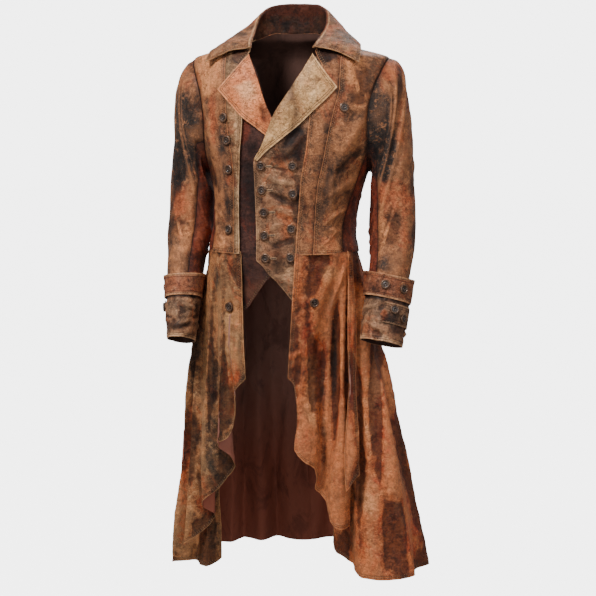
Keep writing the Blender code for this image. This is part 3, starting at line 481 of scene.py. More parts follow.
def coat_lift(angle: Grid) -> Grid:
    """How far the coat stands off the form: most over the waistcoat in front."""
    near = 1 - ramp(*COAT_LIFT_TURN, np.abs(angle))
    return COAT_LIFT_SIDE + (COAT_LIFT_FRONT - COAT_LIFT_SIDE) * near


def nape(across: Grid) -> Grid:
    """The coat back's top, from the shoulder seam up to the nape."""
    return NECK + NAPE_RISE * ramp(0.0, 0.6, across)


@dataclass(frozen=True)
class Ripples:
    """A soft, uneven relief of many slow waves in seeded directions, for the leather's crumpling.

    Attributes:
        seed: which relief.
        size: the waves' length in metres.
        height: the relief's usual height in metres.
        stretch: how much longer the waves are along Z than across it.
        sharp: 0 for round waves, 1 for narrow ridges with wide hollows.
        waves: how many waves make it up.
    """

    seed: int
    size: float
    height: float
    stretch: float = 1.0
    sharp: float = 0.0
    waves: int = 18

    def at(self, points: Grid) -> Grid:
        """The relief's height at points."""
        draw = np.random.default_rng(self.seed)
        directions = unit(draw.normal(size=(self.waves, 3)))
        directions[:, 2] /= self.stretch
        rates = 2 * math.pi / self.size * draw.uniform(0.6, 1.5, self.waves)
        phases = draw.uniform(0, 2 * math.pi, self.waves)
        wave = np.sin(points @ directions.T * rates + phases)
        round_sum = wave.sum(axis=-1) / math.sqrt(self.waves / 2)
        ridges = 1.0 - np.abs(round_sum) * 1.25
        return self.height * (round_sum * (1 - self.sharp) + ridges * self.sharp)


class Placed:
    """What is placed one by one, each by a row of its numbers."""

    @classmethod
    def rows(cls, *rows: tuple) -> tuple:
        """One of these for each row."""
        return tuple(cls(*row) for row in rows)


@dataclass(frozen=True)
class Crease(Placed):
    """One listed fold: a soft ridge with a trough beside it.

    Attributes:
        across: its middle, as a share of the way across the panel.
        down: its middle, as a share of the way down the panel.
        turn: its direction in degrees, 0 along the panel's width and 90 down it.
        length: half its length in metres.
        width: half its width in metres.
        height: the ridge's height in metres, negative for a trough with ridges beside it.
        bow: how far its middle is bowed aside, in metres.
    """

    across: float
    down: float
    turn: float
    length: float
    width: float
    height: float
    bow: float = 0.0

    def at(self, s: Grid, t: Grid, width: float, length: float) -> Grid:
        """The fold's height where the panel is laid out flat.

        Args:
            s: distance across the panel.
            t: distance down the panel.
            width: the panel's width.
            length: the panel's length.

        Returns:
            The height of the fold at each place.
        """
        turn = math.radians(self.turn)
        ds, dt = s - self.across * width, t - self.down * length
        along = ds * math.cos(turn) + dt * math.sin(turn)
        aside = -ds * math.sin(turn) + dt * math.cos(turn)
        reach = np.clip(along / self.length, -1.4, 1.4)
        aside = aside - self.bow * (1 - reach**2)
        fade = np.exp(-2.2 * (along / self.length) ** 4)
        share = aside / self.width
        return self.height * fade * (1 - 0.9 * share**2) * np.exp(-0.9 * share**2)


@dataclass(frozen=True)
class Drag(Placed):
    """One fold placed by its two ends on the coat's front.

    Attributes:
        start: where it starts, to the wearer's left and up.
        end: where it ends.
        width: half its width in metres.
        height: the ridge's height in metres, negative for a trough.
        bow: how far its middle is bowed aside, in metres.
    """

    start: tuple[float, float]
    end: tuple[float, float]
    width: float
    height: float
    bow: float = 0.0

    def over(self, points: Grid) -> Grid:
        """The fold's height at points."""
        run = np.subtract(self.end, self.start)
        length = float(np.hypot(*run))
        way = run / length
        dx, dz = points[..., 0] - self.start[0], points[..., 2] - self.start[1]
        along = (dx * way[0] + dz * way[1]) / length * 2 - 1
        aside = dx * way[1] - dz * way[0] - self.bow * (1 - np.clip(along, -1.2, 1.2) ** 2)
        fade = np.exp(-1.6 * along**4)
        share = aside / self.width
        front = ramp(0.06, -0.02, points[..., 1])
        return self.height * fade * front * (1 - 0.7 * share**2) * np.exp(-0.9 * share**2)


class Tint(Enum):
    """What a stain or a patch of painted shade does to the leather, and the attribute that holds it."""

    # The soot tint marks smoke stains, and beside the lapels it also lays painted shade.
    SOOT_AND_SHADE = "soot_and_shade"
    WARM = "warm"
    PALE = "pale"
    # The deep tint is painted shade alone: it darkens the leather where shade falls.
    DEEP = "deep"


SOOT_AND_SHADE, WARM, PALE, DEEP = Tint


@dataclass(frozen=True)
class Stain(Placed):
    """A soft patch of smoke, red or bare leather, or of painted shade, round a place on the coat.

    Attributes:
        tint: what it does.
        x: its middle, to the wearer's left.
        z: its middle's height.
        wide: half its width.
        tall: half its height.
        depth: how strong it is, negative where it clears another.
    """

    tint: Tint
    x: float
    z: float
    wide: float
    tall: float
    depth: float

    def at(self, points: Grid) -> Grid:
        """The patch's strength at points."""
        share = ((points[:, 0] - self.x) / self.wide) ** 2 + ((points[:, 2] - self.z) / self.tall) ** 2
        return self.depth * np.exp(-share)


@dataclass(frozen=True)
class Patch(Placed):
    """A soft patch placed on the cut, by shares of the way across and down it.

    Attributes:
        tint: what it does.
        across: its middle's share of the way across.
        down: its middle's share of the way down.
        wide: half its width, as a share.
        tall: half its height, as a share.
        depth: how strong it is.
    """

    tint: Tint
    across: float
    down: float
    wide: float
    tall: float
    depth: float

    def over(self, across: Grid, down: Grid) -> Grid:
        """The patch's strength at shares of the way across and down."""
        share = ((across - self.across) / self.wide) ** 4 + ((down - self.down) / self.tall) ** 4
        return self.depth * np.exp(-share)


DEPTH_OF_DYE = 1.02


def shade(red: int, green: int, blue: int) -> Colour:
    """A dyer's colour, from 0 to 255 a channel, made linear and deepened for the studio's soft tone."""
    plain_tone = [((c / 255 + 0.055) / 1.055) ** 2.4 for c in (red, green, blue)]
    grey = 0.25 * plain_tone[0] + 0.60 * plain_tone[1] + 0.15 * plain_tone[2]
    return tuple(max(grey + (c - grey) * DEPTH_OF_DYE, 0.0015) for c in plain_tone)


class Graph:
    """A node tree that is built a node at a time."""

    def __init__(self, tree: bpy.types.NodeTree) -> None:
        """Takes the tree to build in."""
        self.tree = tree

    def node(self, kind: str, **settings: object) -> bpy.types.Node:
        """Adds a node of a kind and sets its properties."""
        made = self.tree.nodes.new(kind)
        for name, value in settings.items():
            setattr(made, name, value)
        return made

    def put(self, socket: Socket, value: Given) -> None:
        """Gives a socket a value or a link."""
        if isinstance(value, Socket):
            self.tree.links.new(value, socket)
        elif isinstance(value, tuple) and socket.type == "RGBA":
            socket.default_value = (*value[:3], 1.0)
        else:
            socket.default_value = value

    def feed(self, node: bpy.types.Node, **values: Given) -> None:
        """Gives a node's sockets values or links, with an underline for each gap in a socket's name."""
        for name, value in values.items():
            self.put(node.inputs[name.replace("_", " ")], value)

    def sum(self, operation: str, *values: Given, clamp: bool = False) -> Socket:
        """A math node on its values."""
        made = self.node("ShaderNodeMath", operation=operation, use_clamp=clamp)
        for socket, value in zip(made.inputs, values):
            self.put(socket, value)
        return made.outputs[0]

    def plus(self, first: Given, second: Given) -> Socket:
        """One value and another."""
        return self.sum("ADD", first, second)

    def minus(self, first: Given, second: Given) -> Socket:
        """One value less another."""
        return self.sum("SUBTRACT", first, second)

    def times(self, first: Given, second: Given) -> Socket:
        """One value times another."""
        return self.sum("MULTIPLY", first, second)

    def relief(self, shader: bpy.types.Node, height: Socket, strength: float, distance: float) -> None:
        """Gives a shader a relief of a strength and a depth."""
        made = self.node("ShaderNodeBump")
        self.feed(made, Strength=strength, Distance=distance, Height=height)
        self.put(shader.inputs["Normal"], made.outputs["Normal"])

    def between(self, value: Given, low: float, high: float) -> Socket:
        """Rises smoothly from 0 where a value is low to 1 where it is high."""
        made = self.node("ShaderNodeMapRange", interpolation_type="SMOOTHSTEP")
        self.feed(made, Value=value, From_Min=low, From_Max=high)
        return made.outputs["Result"]

    def mix(self, share: Given, first: Given, second: Given, blend: str = "MIX") -> Socket:
        """A mix of two colours."""
        made = self.node("ShaderNodeMix", data_type="RGBA", blend_type=blend)
        self.put(made.inputs[0], share)
        self.put(made.inputs[6], first)
        self.put(made.inputs[7], second)
        return made.outputs[2]

    def noise(
        self, place: Socket, scale: float, detail: float = 4.0, rough: float = 0.55, bent: float = 0.0
    ) -> Socket:
        """A noise at a place, from 0 to 1."""
        made = self.node("ShaderNodeTexNoise")
        self.feed(made, Vector=place, Scale=scale, Detail=detail, Roughness=rough, Distortion=bent)
        return made.outputs["Fac"]

    def cells(self, place: Socket, scale: float) -> Socket:
        """The distance to the nearest of many scattered points."""
        made = self.node("ShaderNodeTexVoronoi", feature="SMOOTH_F1")
        self.feed(made, Vector=place, Scale=scale, Smoothness=0.6)
        return made.outputs["Distance"]

    def stretched(self, place: Socket, scale: tuple[float, float, float]) -> Socket:
        """A place with its axes stretched."""
        made = self.node("ShaderNodeMapping")
        self.feed(made, Vector=place, Scale=scale)
        return made.outputs["Vector"]

    def band(self, value: Given, middle: float, half: float) -> Socket:
        """1 where a value is at a middle, falling to 0 half a width away."""
        away = self.sum("ABSOLUTE", self.minus(value, middle))
        return self.minus(1.0, self.between(away, half * 0.4, half))


def new_group(
    name: str, inputs: tuple[tuple[str, str], ...], outputs: tuple[tuple[str, str], ...]
) -> tuple[bpy.types.NodeTree, Graph, bpy.types.Node, bpy.types.Node]:
    """A shader node group with named sockets.

    Args:
        name: the group's name.
        inputs: each input's name and kind of socket.
        outputs: each output's name and kind of socket.

    Returns:
        The group, its graph, its input node and its output node.
    """
    group = bpy.data.node_groups.new(name, "ShaderNodeTree")
    for direction, sockets in (("INPUT", inputs), ("OUTPUT", outputs)):
        for label, kind in sockets:
            group.interface.new_socket(label, in_out=direction, socket_type=kind)
    graph = Graph(group)
    return group, graph, graph.node("NodeGroupInput"), graph.node("NodeGroupOutput")


FLOAT, COLOUR, VECTOR = "NodeSocketFloat", "NodeSocketColor", "NodeSocketVector"
# Each shell's marks. The deep and seam marks, the folds' hollows and the soot mark beside the lapels lay
# painted shade.
MARKS = ("soot_and_shade", "warm", "pale", "deep", "fold", "rim", "seam")


def worn_leather_group() -> bpy.types.NodeTree:
    """The skin of the worn leather: mottling, smoke, bare patches, creases, edges, grain, painted shade and
    highlights.
    """
    colours = tuple((label, COLOUR) for label in ("Ground", "Mottle", "Bare", "Smoke", "Red"))
    numbers = tuple((label, FLOAT) for label in (*MARKS, "Streaks", "Stitched", "Mottling"))
    outputs = (("Colour", COLOUR), ("Roughness", FLOAT), ("Height", FLOAT))
    group, g, given, out = new_group("Worn leather", (("Place", VECTOR), *colours, *numbers), outputs)
    get = given.outputs
    place = get["Place"]
    wide = g.noise(place, 7.5, 5.0, 0.62, 0.7)
    patch = g.noise(place, 21.0, 7.0, 0.68, 0.6)
    spot = g.noise(place, 62.0, 7.0, 0.70, 0.4)
    speck = g.noise(place, 190.0, 6.0, 0.72)
    burn = g.noise(g.stretched(place, (1.0, 1.0, 0.7)), 17.0, 7.0, 0.70, 1.0)
    run_down = g.noise(g.stretched(place, (1.0, 1.0, 0.13)), 46.0, 6.0, 0.62, 0.2)
    soot_field = g.noise(g.stretched(place, (1.0, 1.0, 0.6)), 11.0, 8.0, 0.74, 1.2)
    crinkle = g.noise(g.stretched(place, (1.0, 1.0, 1.5)), 74.0, 8.0, 0.70, 1.1)

    def field(mark: str, noise: Socket, weight: float) -> Socket:
        """A mark's strength, broken up by a noise."""
        return g.plus(get[mark], g.times(g.minus(noise, 0.5), weight))

    def share(noise: Socket, low: float, high: float, most: float) -> Socket:
        """How far a noise passes from a low to a high value, up to a most."""
        return g.times(g.between(noise, low, high), most)

    mottle = g.times(g.between(patch, 0.44, 0.58), get["Mottling"])
    colour = g.mix(mottle, get["Ground"], get["Mottle"])
    colour = g.mix(g.between(field("pale", wide, 2.4), 0.26, 0.80), colour, get["Bare"])
    colour = g.mix(g.times(share(burn, 0.53, 0.63, 0.75), get["Mottling"]), colour, get["Red"])
    colour = g.mix(g.between(field("warm", patch, 2.4), 0.26, 0.80), colour, get["Red"])
    dark_streak = g.times(g.between(run_down, 0.50, 0.64), get["Streaks"])
    colour = g.mix(dark_streak, colour, get["Smoke"])
    light_streak = g.times(g.between(run_down, 0.46, 0.34), get["Streaks"])
    colour = g.mix(g.times(light_streak, 0.55), colour, get["Bare"])
    # Smoke stains from the soot mark, which beside the lapels lays painted shade instead.
    smoke = g.between(field("soot_and_shade", soot_field, 2.0), 0.28, 0.92)
    colour = g.mix(g.times(smoke, 0.94), colour, get["Smoke"])
    colour = g.mix(share(spot, 0.51, 0.65, 0.80), colour, (0.26, 0.22, 0.20), "MULTIPLY")
    colour = g.mix(share(spot, 0.46, 0.34, 0.45), colour, get["Bare"])
    colour = g.mix(share(speck, 0.54, 0.68, 0.62), colour, (0.34, 0.28, 0.25), "MULTIPLY")
    scuff = g.times(g.between(speck, 0.47, 0.34), g.between(patch, 0.36, 0.58))
    colour = g.mix(g.times(scuff, 0.42), colour, get["Bare"])
    # Painted shade: dark lines along the crinkles' grooves, which the relief below cuts in.
    line = g.sum("ABSOLUTE", g.minus(crinkle, 0.5))
    colour = g.mix(share(line, 0.034, 0.0, 0.70), colour, (0.24, 0.19, 0.17), "MULTIPLY")
    # Painted shade in the folds' hollows; on their crests, rubbed wear and a painted highlight in the bare
    # colour.
    hollow = g.between(get["fold"], -0.06, -0.80)
    ridge = g.between(field("fold", spot, 0.9), 0.28, 1.0)
    colour = g.mix(g.times(hollow, 0.80), colour, (0.14, 0.10, 0.09), "MULTIPLY")
    colour = g.mix(g.times(ridge, 0.22), colour, get["Bare"])
    # Painted shade beside sewn seams, broken up by a noise, with a thin darker line in each seam.
    painted_seam_shade = g.between(field("seam", patch, 1.2), 0.10, 1.0)
    colour = g.mix(g.times(painted_seam_shade, 0.72), colour, (0.16, 0.12, 0.10), "MULTIPLY")
    colour = g.mix(g.between(get["seam"], 0.86, 0.96), colour, (0.22, 0.15, 0.12), "MULTIPLY")
    # Painted shade where the deep mark lies: under lapels and cuffs, inside the collar and in hollows.
    deep = field("deep", spot, 0.5)
    colour = g.mix(share(deep, 0.10, 0.90, 0.95), colour, (0.13, 0.085, 0.075), "MULTIPLY")
    # Stitched edges turn pale: rubbed wear there, and a painted highlight along the edges.
    edge = field("rim", spot, 0.004)
    worn = g.minus(1.0, g.between(edge, 0.0004, 0.0024))
    colour = g.mix(g.times(g.times(worn, 0.50), get["Stitched"]), colour, get["Bare"])
    channel = g.sum("MAXIMUM", g.band(get["rim"], 0.0046, 0.0011), g.band(get["rim"], 0.0088, 0.0011))
    channel = g.times(channel, get["Stitched"])
    colour = g.mix(g.times(channel, 0.62), colour, (0.20, 0.14, 0.11), "MULTIPLY")
    grain = g.cells(place, 520.0)
    pores = g.noise(place, 900.0, 2.0, 0.5)
    height = g.plus(g.times(grain, 0.22), g.times(crinkle, 3.0))
    height = g.plus(height, g.times(g.between(line, 0.0, 0.030), 0.35))
    height = g.plus(height, g.times(pores, 0.12))
    height = g.minus(height, g.times(channel, 0.55))
    rough = g.plus(0.42, g.times(spot, 0.26))
    rough = g.plus(rough, g.times(smoke, -0.05))
    g.feed(out, Colour=colour, Roughness=rough, Height=height)
    return group


def flesh_side_group() -> bpy.types.NodeTree:
    """The unfinished inner side of the leather, with painted shade that darkens it towards the hem."""
    inputs = (("Place", VECTOR), ("Deep", COLOUR), ("Hem", COLOUR))
    group, g, given, out = new_group("Flesh side", inputs, (("Colour", COLOUR), ("Height", FLOAT)))
    place = given.outputs["Place"]
    patch = g.noise(g.stretched(place, (1.0, 1.0, 0.45)), 16.0, 7.0, 0.68, 0.8)
    nap = g.noise(place, 240.0, 5.0, 0.7)
    apart = g.node("ShaderNodeSeparateXYZ")
    g.put(apart.inputs[0], place)
    # Painted shade: lower down, the colour turns to the darker hem colour, against the light that reaches
    # the inside there.
    low = g.between(apart.outputs["Z"], -0.70, -1.06)
    share = g.times(g.between(g.plus(patch, g.times(low, 0.30)), 0.40, 0.66), low)
    colour = g.mix(share, given.outputs["Deep"], given.outputs["Hem"])
    dim = g.times(g.between(patch, 0.52, 0.36), 0.55)
    colour = g.mix(dim, colour, (0.35, 0.30, 0.30), "MULTIPLY")
    colour = g.mix(g.times(g.between(nap, 0.5, 0.75), 0.25), colour, given.outputs["Hem"])
    g.put(out.inputs["Colour"], colour)
    g.put(out.inputs["Height"], g.plus(g.times(nap, 0.6), g.times(patch, 1.4)))
    return group


@dataclass(frozen=True)
class Leather:
    """One of the coat's leathers.

    Attributes:
        name: the material's name.
        slot: the record's material slot.
        ground: its main colour.
        mottle: the colour it is mottled with.
        bare: the colour where it is worn, and of the painted highlights on fold crests and stitched edges.
        smoke: the colour of its stains, and of the painted shade that the soot mark lays beside the lapels.
        red: the colour where it is burnished red.
        streaks: how strongly dark streaks run down it.
        mottling: how strongly it is mottled.
        gloss: its coat, as waxed leather has.
    """

    name: str
    slot: str
    ground: Colour
    mottle: Colour
    bare: Colour
    smoke: Colour
    red: Colour
    streaks: float = 0.0
    mottling: float = 0.8
    gloss: float = 0.10

    def material(self, group: bpy.types.NodeTree) -> bpy.types.Material:
        """Its material, made once."""
        if self.name in bpy.data.materials:
            return bpy.data.materials[self.name]
        made, g, shader = new_material(self.name)
        skin = g.node("ShaderNodeGroup", node_tree=group)
        g.feed(skin, Place=g.node("ShaderNodeTexCoord").outputs["Object"], Ground=self.ground)
        g.feed(skin, Mottle=self.mottle, Bare=self.bare, Smoke=self.smoke, Red=self.red)
        g.feed(skin, Streaks=self.streaks, Mottling=self.mottling)
        for mark in (*MARKS, "stitched"):
            attribute = g.node("ShaderNodeAttribute", attribute_name=mark)
            g.put(skin.inputs["Stitched" if mark == "stitched" else mark], attribute.outputs["Fac"])
        g.relief(shader, skin.outputs["Height"], 0.80, 0.0022)
        g.feed(shader, Base_Color=skin.outputs["Colour"], Roughness=skin.outputs["Roughness"])
        g.feed(shader, Specular_IOR_Level=0.24, Coat_Weight=self.gloss, Coat_Roughness=0.42)
        return made


@dataclass(frozen=True)
class FleshSide:
    """The inner side of the leather.

    Attributes:
        name: the material's name.
        deep: its main colour.
        hem: its darker colour towards the hem, as painted shade, and the colour of its nap's flecks.
    """

    name: str
    deep: Colour
    hem: Colour

    def material(self, group: bpy.types.NodeTree) -> bpy.types.Material:
        """Its material, made once."""
        if self.name in bpy.data.materials:
            return bpy.data.materials[self.name]
        made, g, shader = new_material(self.name)
        nap = g.node("ShaderNodeGroup", node_tree=group)
        g.feed(nap, Place=g.node("ShaderNodeTexCoord").outputs["Object"], Deep=self.deep, Hem=self.hem)
        g.relief(shader, nap.outputs["Height"], 0.5, 0.0012)
        g.feed(shader, Base_Color=nap.outputs["Colour"], Roughness=0.85)
        return made


@dataclass(frozen=True)
class Hardware:
    """Horn, worn metal, thread or the painted shade in a buttonhole's slit, with a noise that varies it.

    Attributes:
        name: the material's name.
        body: its main colour.
        worn: its colour where the noise is high.
        roughness: how rough it is in between.
        metallic: how far it is metal.
        scale: the noise's scale.
    """

    name: str
    body: Colour
    worn: Colour
    roughness: float
    metallic: float = 0.0
    scale: float = 300.0

    def material(self) -> bpy.types.Material:
        """Its material, made once."""
        if self.name in bpy.data.materials:
            return bpy.data.materials[self.name]
        made, g, shader = new_material(self.name)
        place = g.node("ShaderNodeTexCoord").outputs["Object"]
        share = g.between(g.noise(place, self.scale, 5.0, 0.65), 0.40, 0.66)
        g.feed(shader, Base_Color=g.mix(share, self.body, self.worn), Metallic=self.metallic)
        low = max(self.roughness - 0.12, 0.0)
        g.put(shader.inputs["Roughness"], g.plus(low, g.times(share, 0.24)))
        g.relief(shader, share, 0.3, 0.0004)
        return made


def new_material(name: str) -> tuple[bpy.types.Material, Graph, bpy.types.Node]:
    """A new material with its graph and its shader."""
    made = bpy.data.materials.new(name)
    made.use_nodes = True
    return made, Graph(made.node_tree), made.node_tree.nodes["Principled BSDF"]


SMOKE = shade(56, 49, 40)
BLUE_BLACK = shade(50, 44, 40)
BURNT = shade(176, 94, 58)

TAN_LEATHER = Leather(
    "Tan leather", "leather_tan", shade(190, 138, 96), shade(138, 100, 68), shade(224, 180, 136), SMOKE,
    BURNT, 0.10, 0.85
)
COLLAR_LEATHER = Leather(
    "Collar leather", "leather_tan", shade(166, 108, 70), shade(106, 72, 48), shade(200, 150, 106), SMOKE,
    BURNT, 0.05, 0.9, 0.0
)
BROWN_LEATHER = Leather(
    "Brown leather", "leather_brown", shade(172, 112, 74), shade(104, 73, 53), shade(228, 150, 98),
    BLUE_BLACK, shade(186, 98, 60), 0.25, 0.85
)
RED_LEATHER = Leather(
    "Red brown leather", "leather_red", shade(140, 64, 42), shade(92, 44, 32), shade(182, 100, 66),
    shade(40, 26, 24), shade(156, 60, 36), 0.35, 0.8
)
PEACH_LEATHER = Leather(
    "Peach leather", "leather_orange", shade(240, 142, 88), shade(206, 112, 68), shade(252, 178, 126), SMOKE,
    shade(206, 98, 52), 0.0, 0.45, 0.15
)
KHAKI_LEATHER = Leather(
    "Khaki leather", "leather_tan", shade(222, 168, 112), shade(168, 126, 82), shade(250, 206, 152),
    shade(60, 58, 48), shade(190, 112, 66), 0.0, 0.40, 0.15
)
CUFF_FINISH = Leather(
    "Cuff leather", "leather_orange", shade(160, 92, 60), shade(104, 60, 42), shade(206, 146, 104), SMOKE,
    shade(176, 74, 42), 0.25, 0.8
)
# Painted shade: a darker copy of the grey-brown leather for the waistcoat's right front, which lies in shade
# under the left one.
PAINTED_SHADE_LEATHER = Leather(
    "Leather with painted shade", "leather_grey", shade(78, 46, 38), shade(52, 32, 29), shade(104, 64, 48),
    shade(38, 24, 23), shade(112, 48, 32), 0.1, 0.7
)
GREY_LEATHER = Leather(
    "Grey brown leather", "leather_grey", shade(162, 112, 80), shade(108, 82, 62), shade(206, 156, 116),
    shade(40, 28, 25), shade(178, 94, 54), 0.2, 0.85
)
SKIRT_LEATHER = Leather(
    "Skirt leather", "leather_orange", shade(208, 114, 66), shade(158, 82, 50), shade(238, 160, 108),
    shade(76, 54, 42), shade(192, 76, 40), 0.34, 0.75
)
DARK_SKIRT_LEATHER = Leather(
    "Dark skirt leather", "leather_brown", shade(184, 120, 76), shade(118, 82, 56), shade(228, 170, 118),
    shade(62, 54, 45), shade(196, 92, 50), 0.45, 0.85
)
# Lit and shaded copies of one inner side: the body's is darker, painted shade where the neck gets more
# light; the skirts' is lighter, painted light where little light reaches.
INSIDE = FleshSide("Flesh side", shade(84, 54, 44), shade(66, 40, 33))
SKIRT_INSIDE = FleshSide("Skirt flesh side", shade(158, 112, 98), shade(150, 82, 62))
THREAD = Hardware("Waxed thread", shade(172, 132, 94), shade(84, 58, 42), 0.7, 0.0, 500.0)
# Painted shade: a dark solid in each buttonhole's slit stands for the shadow in the opening.
SLIT_SHADE = Hardware("Painted slit shade", shade(62, 46, 38), shade(110, 84, 62), 0.7, 0.0, 500.0)
HORN = Hardware("Dark horn", shade(38, 28, 24), shade(76, 56, 44), 0.34, 0.0, 260.0)
RIM_METAL = Hardware("Worn rim", shade(112, 80, 58), shade(58, 40, 32), 0.36, 0.30, 320.0)


def alone() -> None:
    """Deselects everything, as an operator acts on all that is selected."""
    if bpy.context.mode != "OBJECT":
        bpy.ops.object.mode_set(mode="OBJECT")
    bpy.ops.object.select_all(action="DESELECT")


def only(thing: bpy.types.Object) -> None:
    """Selects one object and makes it active."""
    alone()
    thing.select_set(True)
    bpy.context.view_layer.objects.active = thing


def apply(thing: bpy.types.Object, kind: str, **settings: object) -> None:
    """Adds a modifier to an object and applies it."""
    only(thing)
    modifier = thing.modifiers.new(kind.title(), kind)
    for name, value in settings.items():
        setattr(modifier, name, value)
    bpy.ops.object.modifier_apply(modifier=modifier.name)


@dataclass
class Workshop:
    """What every sub-assembly shares.

    Attributes:
        skin: the node group of the worn leather.
        nap: the node group of its inner side.
        calm: the buttons' places, where the leather lies flat.
    """

    frame: dict
    skin: bpy.types.NodeTree
    nap: bpy.types.NodeTree
    calm: list[Vector] = field(default_factory=list)

    def finished(self, thing: bpy.types.Object, slot: str, *nodes: str) -> bpy.types.Object:
        """Lets a piece ride on the coat and stand for its nodes."""
        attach(thing, "root")
        if nodes:
            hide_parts(*nodes)
        LOG.info("%s: %d faces", thing.name, len(thing.data.polygons))
        return thing


BODY_RIPPLES = (Ripples(11, 0.085, 0.0009, 2.0), Ripples(12, 0.034, 0.00035, 1.4, 0.4))


@dataclass
class Panel:
    """A panel of leather: a dense shell on its solid's form.

    Attributes:
        name: the CAD node that it stands for.
        surface: its outer face, from shares across and down to points.
        size: how many parts it is divided into, across and down.
        reverse: whether its columns run so that across times down points outwards.
        leather: its finish.
        cut: the width and length that it was cut to; not used.
        area: the cut's area; not used.
        held: how the leather is held; not used.
        rests_on: the pieces that carry it; not used.
        stitched: its topstitched borders.
        sewn: its borders that sink into a seam, with painted shade laid beside them.
        creases: its folds placed on the cut.
        drags: its folds placed on the coat's front.
        ripples: its crumpling.
        stains: its own stains and patches of painted shade.
        patches: its stains and painted shade placed on the cut.
        lining: its inner side.
        thickness: the leather's.
        ring: whether its two ends meet.
        thread: what it is topstitched with.
        rows_of_thread: how far each row of stitches lies from the border.
        points: the outer face's points, once it is shaped.
        normals: their normals.
        spans: their distances across and down.
    """

    name: str
    surface: Surface
    size: tuple[int, int]
    reverse: bool
    leather: Leather
    cut: tuple[float, float]
    area: float
    held: str = "stretched"
    rests_on: tuple[str, ...] = ()
    stitched: tuple[Border, ...] = ()
    sewn: tuple[Border, ...] = ()
    creases: tuple[Crease, ...] = ()
    drags: tuple[Drag, ...] = ()
    ripples: tuple[Ripples, ...] = BODY_RIPPLES
    stains: tuple[Stain, ...] = ()
    patches: tuple[Patch, ...] = ()
    lining: FleshSide = INSIDE
    thickness: float = LEATHER
    ring: bool = False
    thread: Hardware = THREAD
    rows_of_thread: tuple[float, ...] = (0.0046, 0.0088)
    points: Grid | None = None
    normals: Grid | None = None
    spans: tuple[Grid, Grid] | None = None

    def shaped(self, calm: list[Vector]) -> Grid:
        """Works out the shell's outer points, and keeps its normals and its spans.

        Args:
            calm: places where the leather lies flat under a button.

        Returns:
            How far each point was moved, over the usual height of a fold.
        """
        across, down = np.meshgrid(*(np.linspace(0, 1, n + 1) for n in self.size), indexing="ij")
        base = self.surface(across, down)
        normal = self.facing(base)
        s, t = self.measured(base)
        width, length = s[-1].mean(), t[:, -1].mean()
        crease = np.zeros(base.shape[:2])
        for fold in self.creases:
            crease += fold.at(s, t, width, length)
        for drag in self.drags:
            crease += drag.over(base)
        for relief in self.ripples:
            crease += relief.at(base)
        still = np.ones(base.shape[:2])
        for place in calm:
            away = np.linalg.norm(base - np.array(place), axis=-1)
            still *= 1 - np.exp(-((away / BUTTON_CALM) ** 4))
        moved = crease * still
        for border in self.sewn:
            away = self.away(border, s, t)
            moved *= ramp(*SEAM_CALM, away)
            moved -= SEAM_VALLEY * np.exp(-((away / SEAM_REACH) ** 2))
        self.points = base + normal * moved[..., None]
        if self.ring:
            self.points[-1] = self.points[0]
        self.normals = self.facing(self.points)
        self.spans = self.measured(self.points)
        return crease * still

    def facing(self, points: Grid) -> Grid:
        """The outward normals of a grid of points."""
        if self.ring:
            ringed = np.concatenate([points[-2:-1], points, points[1:2]])
            across = np.gradient(ringed, axis=0)[1:-1]
        else:
            across = np.gradient(points, axis=0)
        normal = unit(np.cross(np.gradient(points, axis=1), across))
        return -normal if self.reverse else normal

    @staticmethod
    def measured(points: Grid) -> tuple[Grid, Grid]:
        """The distance of each point across from the start and down from the top."""
        s = np.zeros(points.shape[:2])
        t = np.zeros(points.shape[:2])
        s[1:] = np.cumsum(np.linalg.norm(np.diff(points, axis=0), axis=-1), axis=0)
        t[:, 1:] = np.cumsum(np.linalg.norm(np.diff(points, axis=1), axis=-1), axis=1)
        return s, t

    @staticmethod
    def away(border: Border, s: Grid, t: Grid) -> Grid:
        """The distance of each point from a border."""
        return {START: s, END: s[-1:] - s, TOP: t, BOTTOM: t[:, -1:] - t}[border]

    def build(self, shop: Workshop) -> bpy.types.Object:
        moved = self.shaped(shop.calm)
        alone()
        bpy.ops.mesh.primitive_grid_add(x_subdivisions=self.size[0], y_subdivisions=self.size[1], size=1)
        shell = bpy.context.object
        shell.name = f"shell_{self.name}"
        shell.data.name = shell.name
        where = self.corners(shell.data)
        shell.data.vertices.foreach_set("co", self.points[where].astype(np.float32).ravel())
        self.marked(shell.data, where, moved)
        if self.ring:
            only(shell)
            bpy.ops.object.mode_set(mode="EDIT")
            bpy.ops.mesh.select_all(action="SELECT")
            bpy.ops.mesh.remove_doubles(threshold=SAME_PLACE)
            bpy.ops.object.mode_set(mode="OBJECT")
        shell.data.materials.append(self.leather.material(shop.skin))
        shell.data.materials.append(self.lining.material(shop.nap))
        inner = {"material_offset": 1, "material_offset_rim": 0}
        apply(shell, "SOLIDIFY", thickness=self.thickness, offset=-1.0, **inner)
        only(shell)
        bpy.ops.object.shade_smooth_by_angle(angle=SHARP_EDGE)
        shop.finished(shell, self.leather.slot, self.name)
        thread = self.stitches(shop)
        measured = self.spans[0][-1].mean(), self.spans[1][:, -1].mean()
        LOG.info("%s: spans %.3f by %.3f m, area %.4f", self.name, *measured, self.covered())
        return shell

    def covered(self) -> float:
        """The area of the shell's outer face."""
        down, across = np.diff(self.points, axis=1)[:-1], np.diff(self.points, axis=0)[:, :-1]
        return float(np.linalg.norm(np.cross(down, across), axis=-1).sum())

    def corners(self, mesh: bpy.types.Mesh) -> tuple[Grid, Grid]:
        """Which of the grid's points each vertex is, turned so that the faces point outwards."""
        flat = np.empty(len(mesh.vertices) * 3, np.float32)
        mesh.vertices.foreach_get("co", flat)
        share = flat.reshape(-1, 3)[:, :2] + 0.5
        column = np.rint(share[:, 0] * self.size[0]).astype(int)
        row = np.rint(share[:, 1] * self.size[1]).astype(int)
        return (column if self.reverse else self.size[0] - column), row

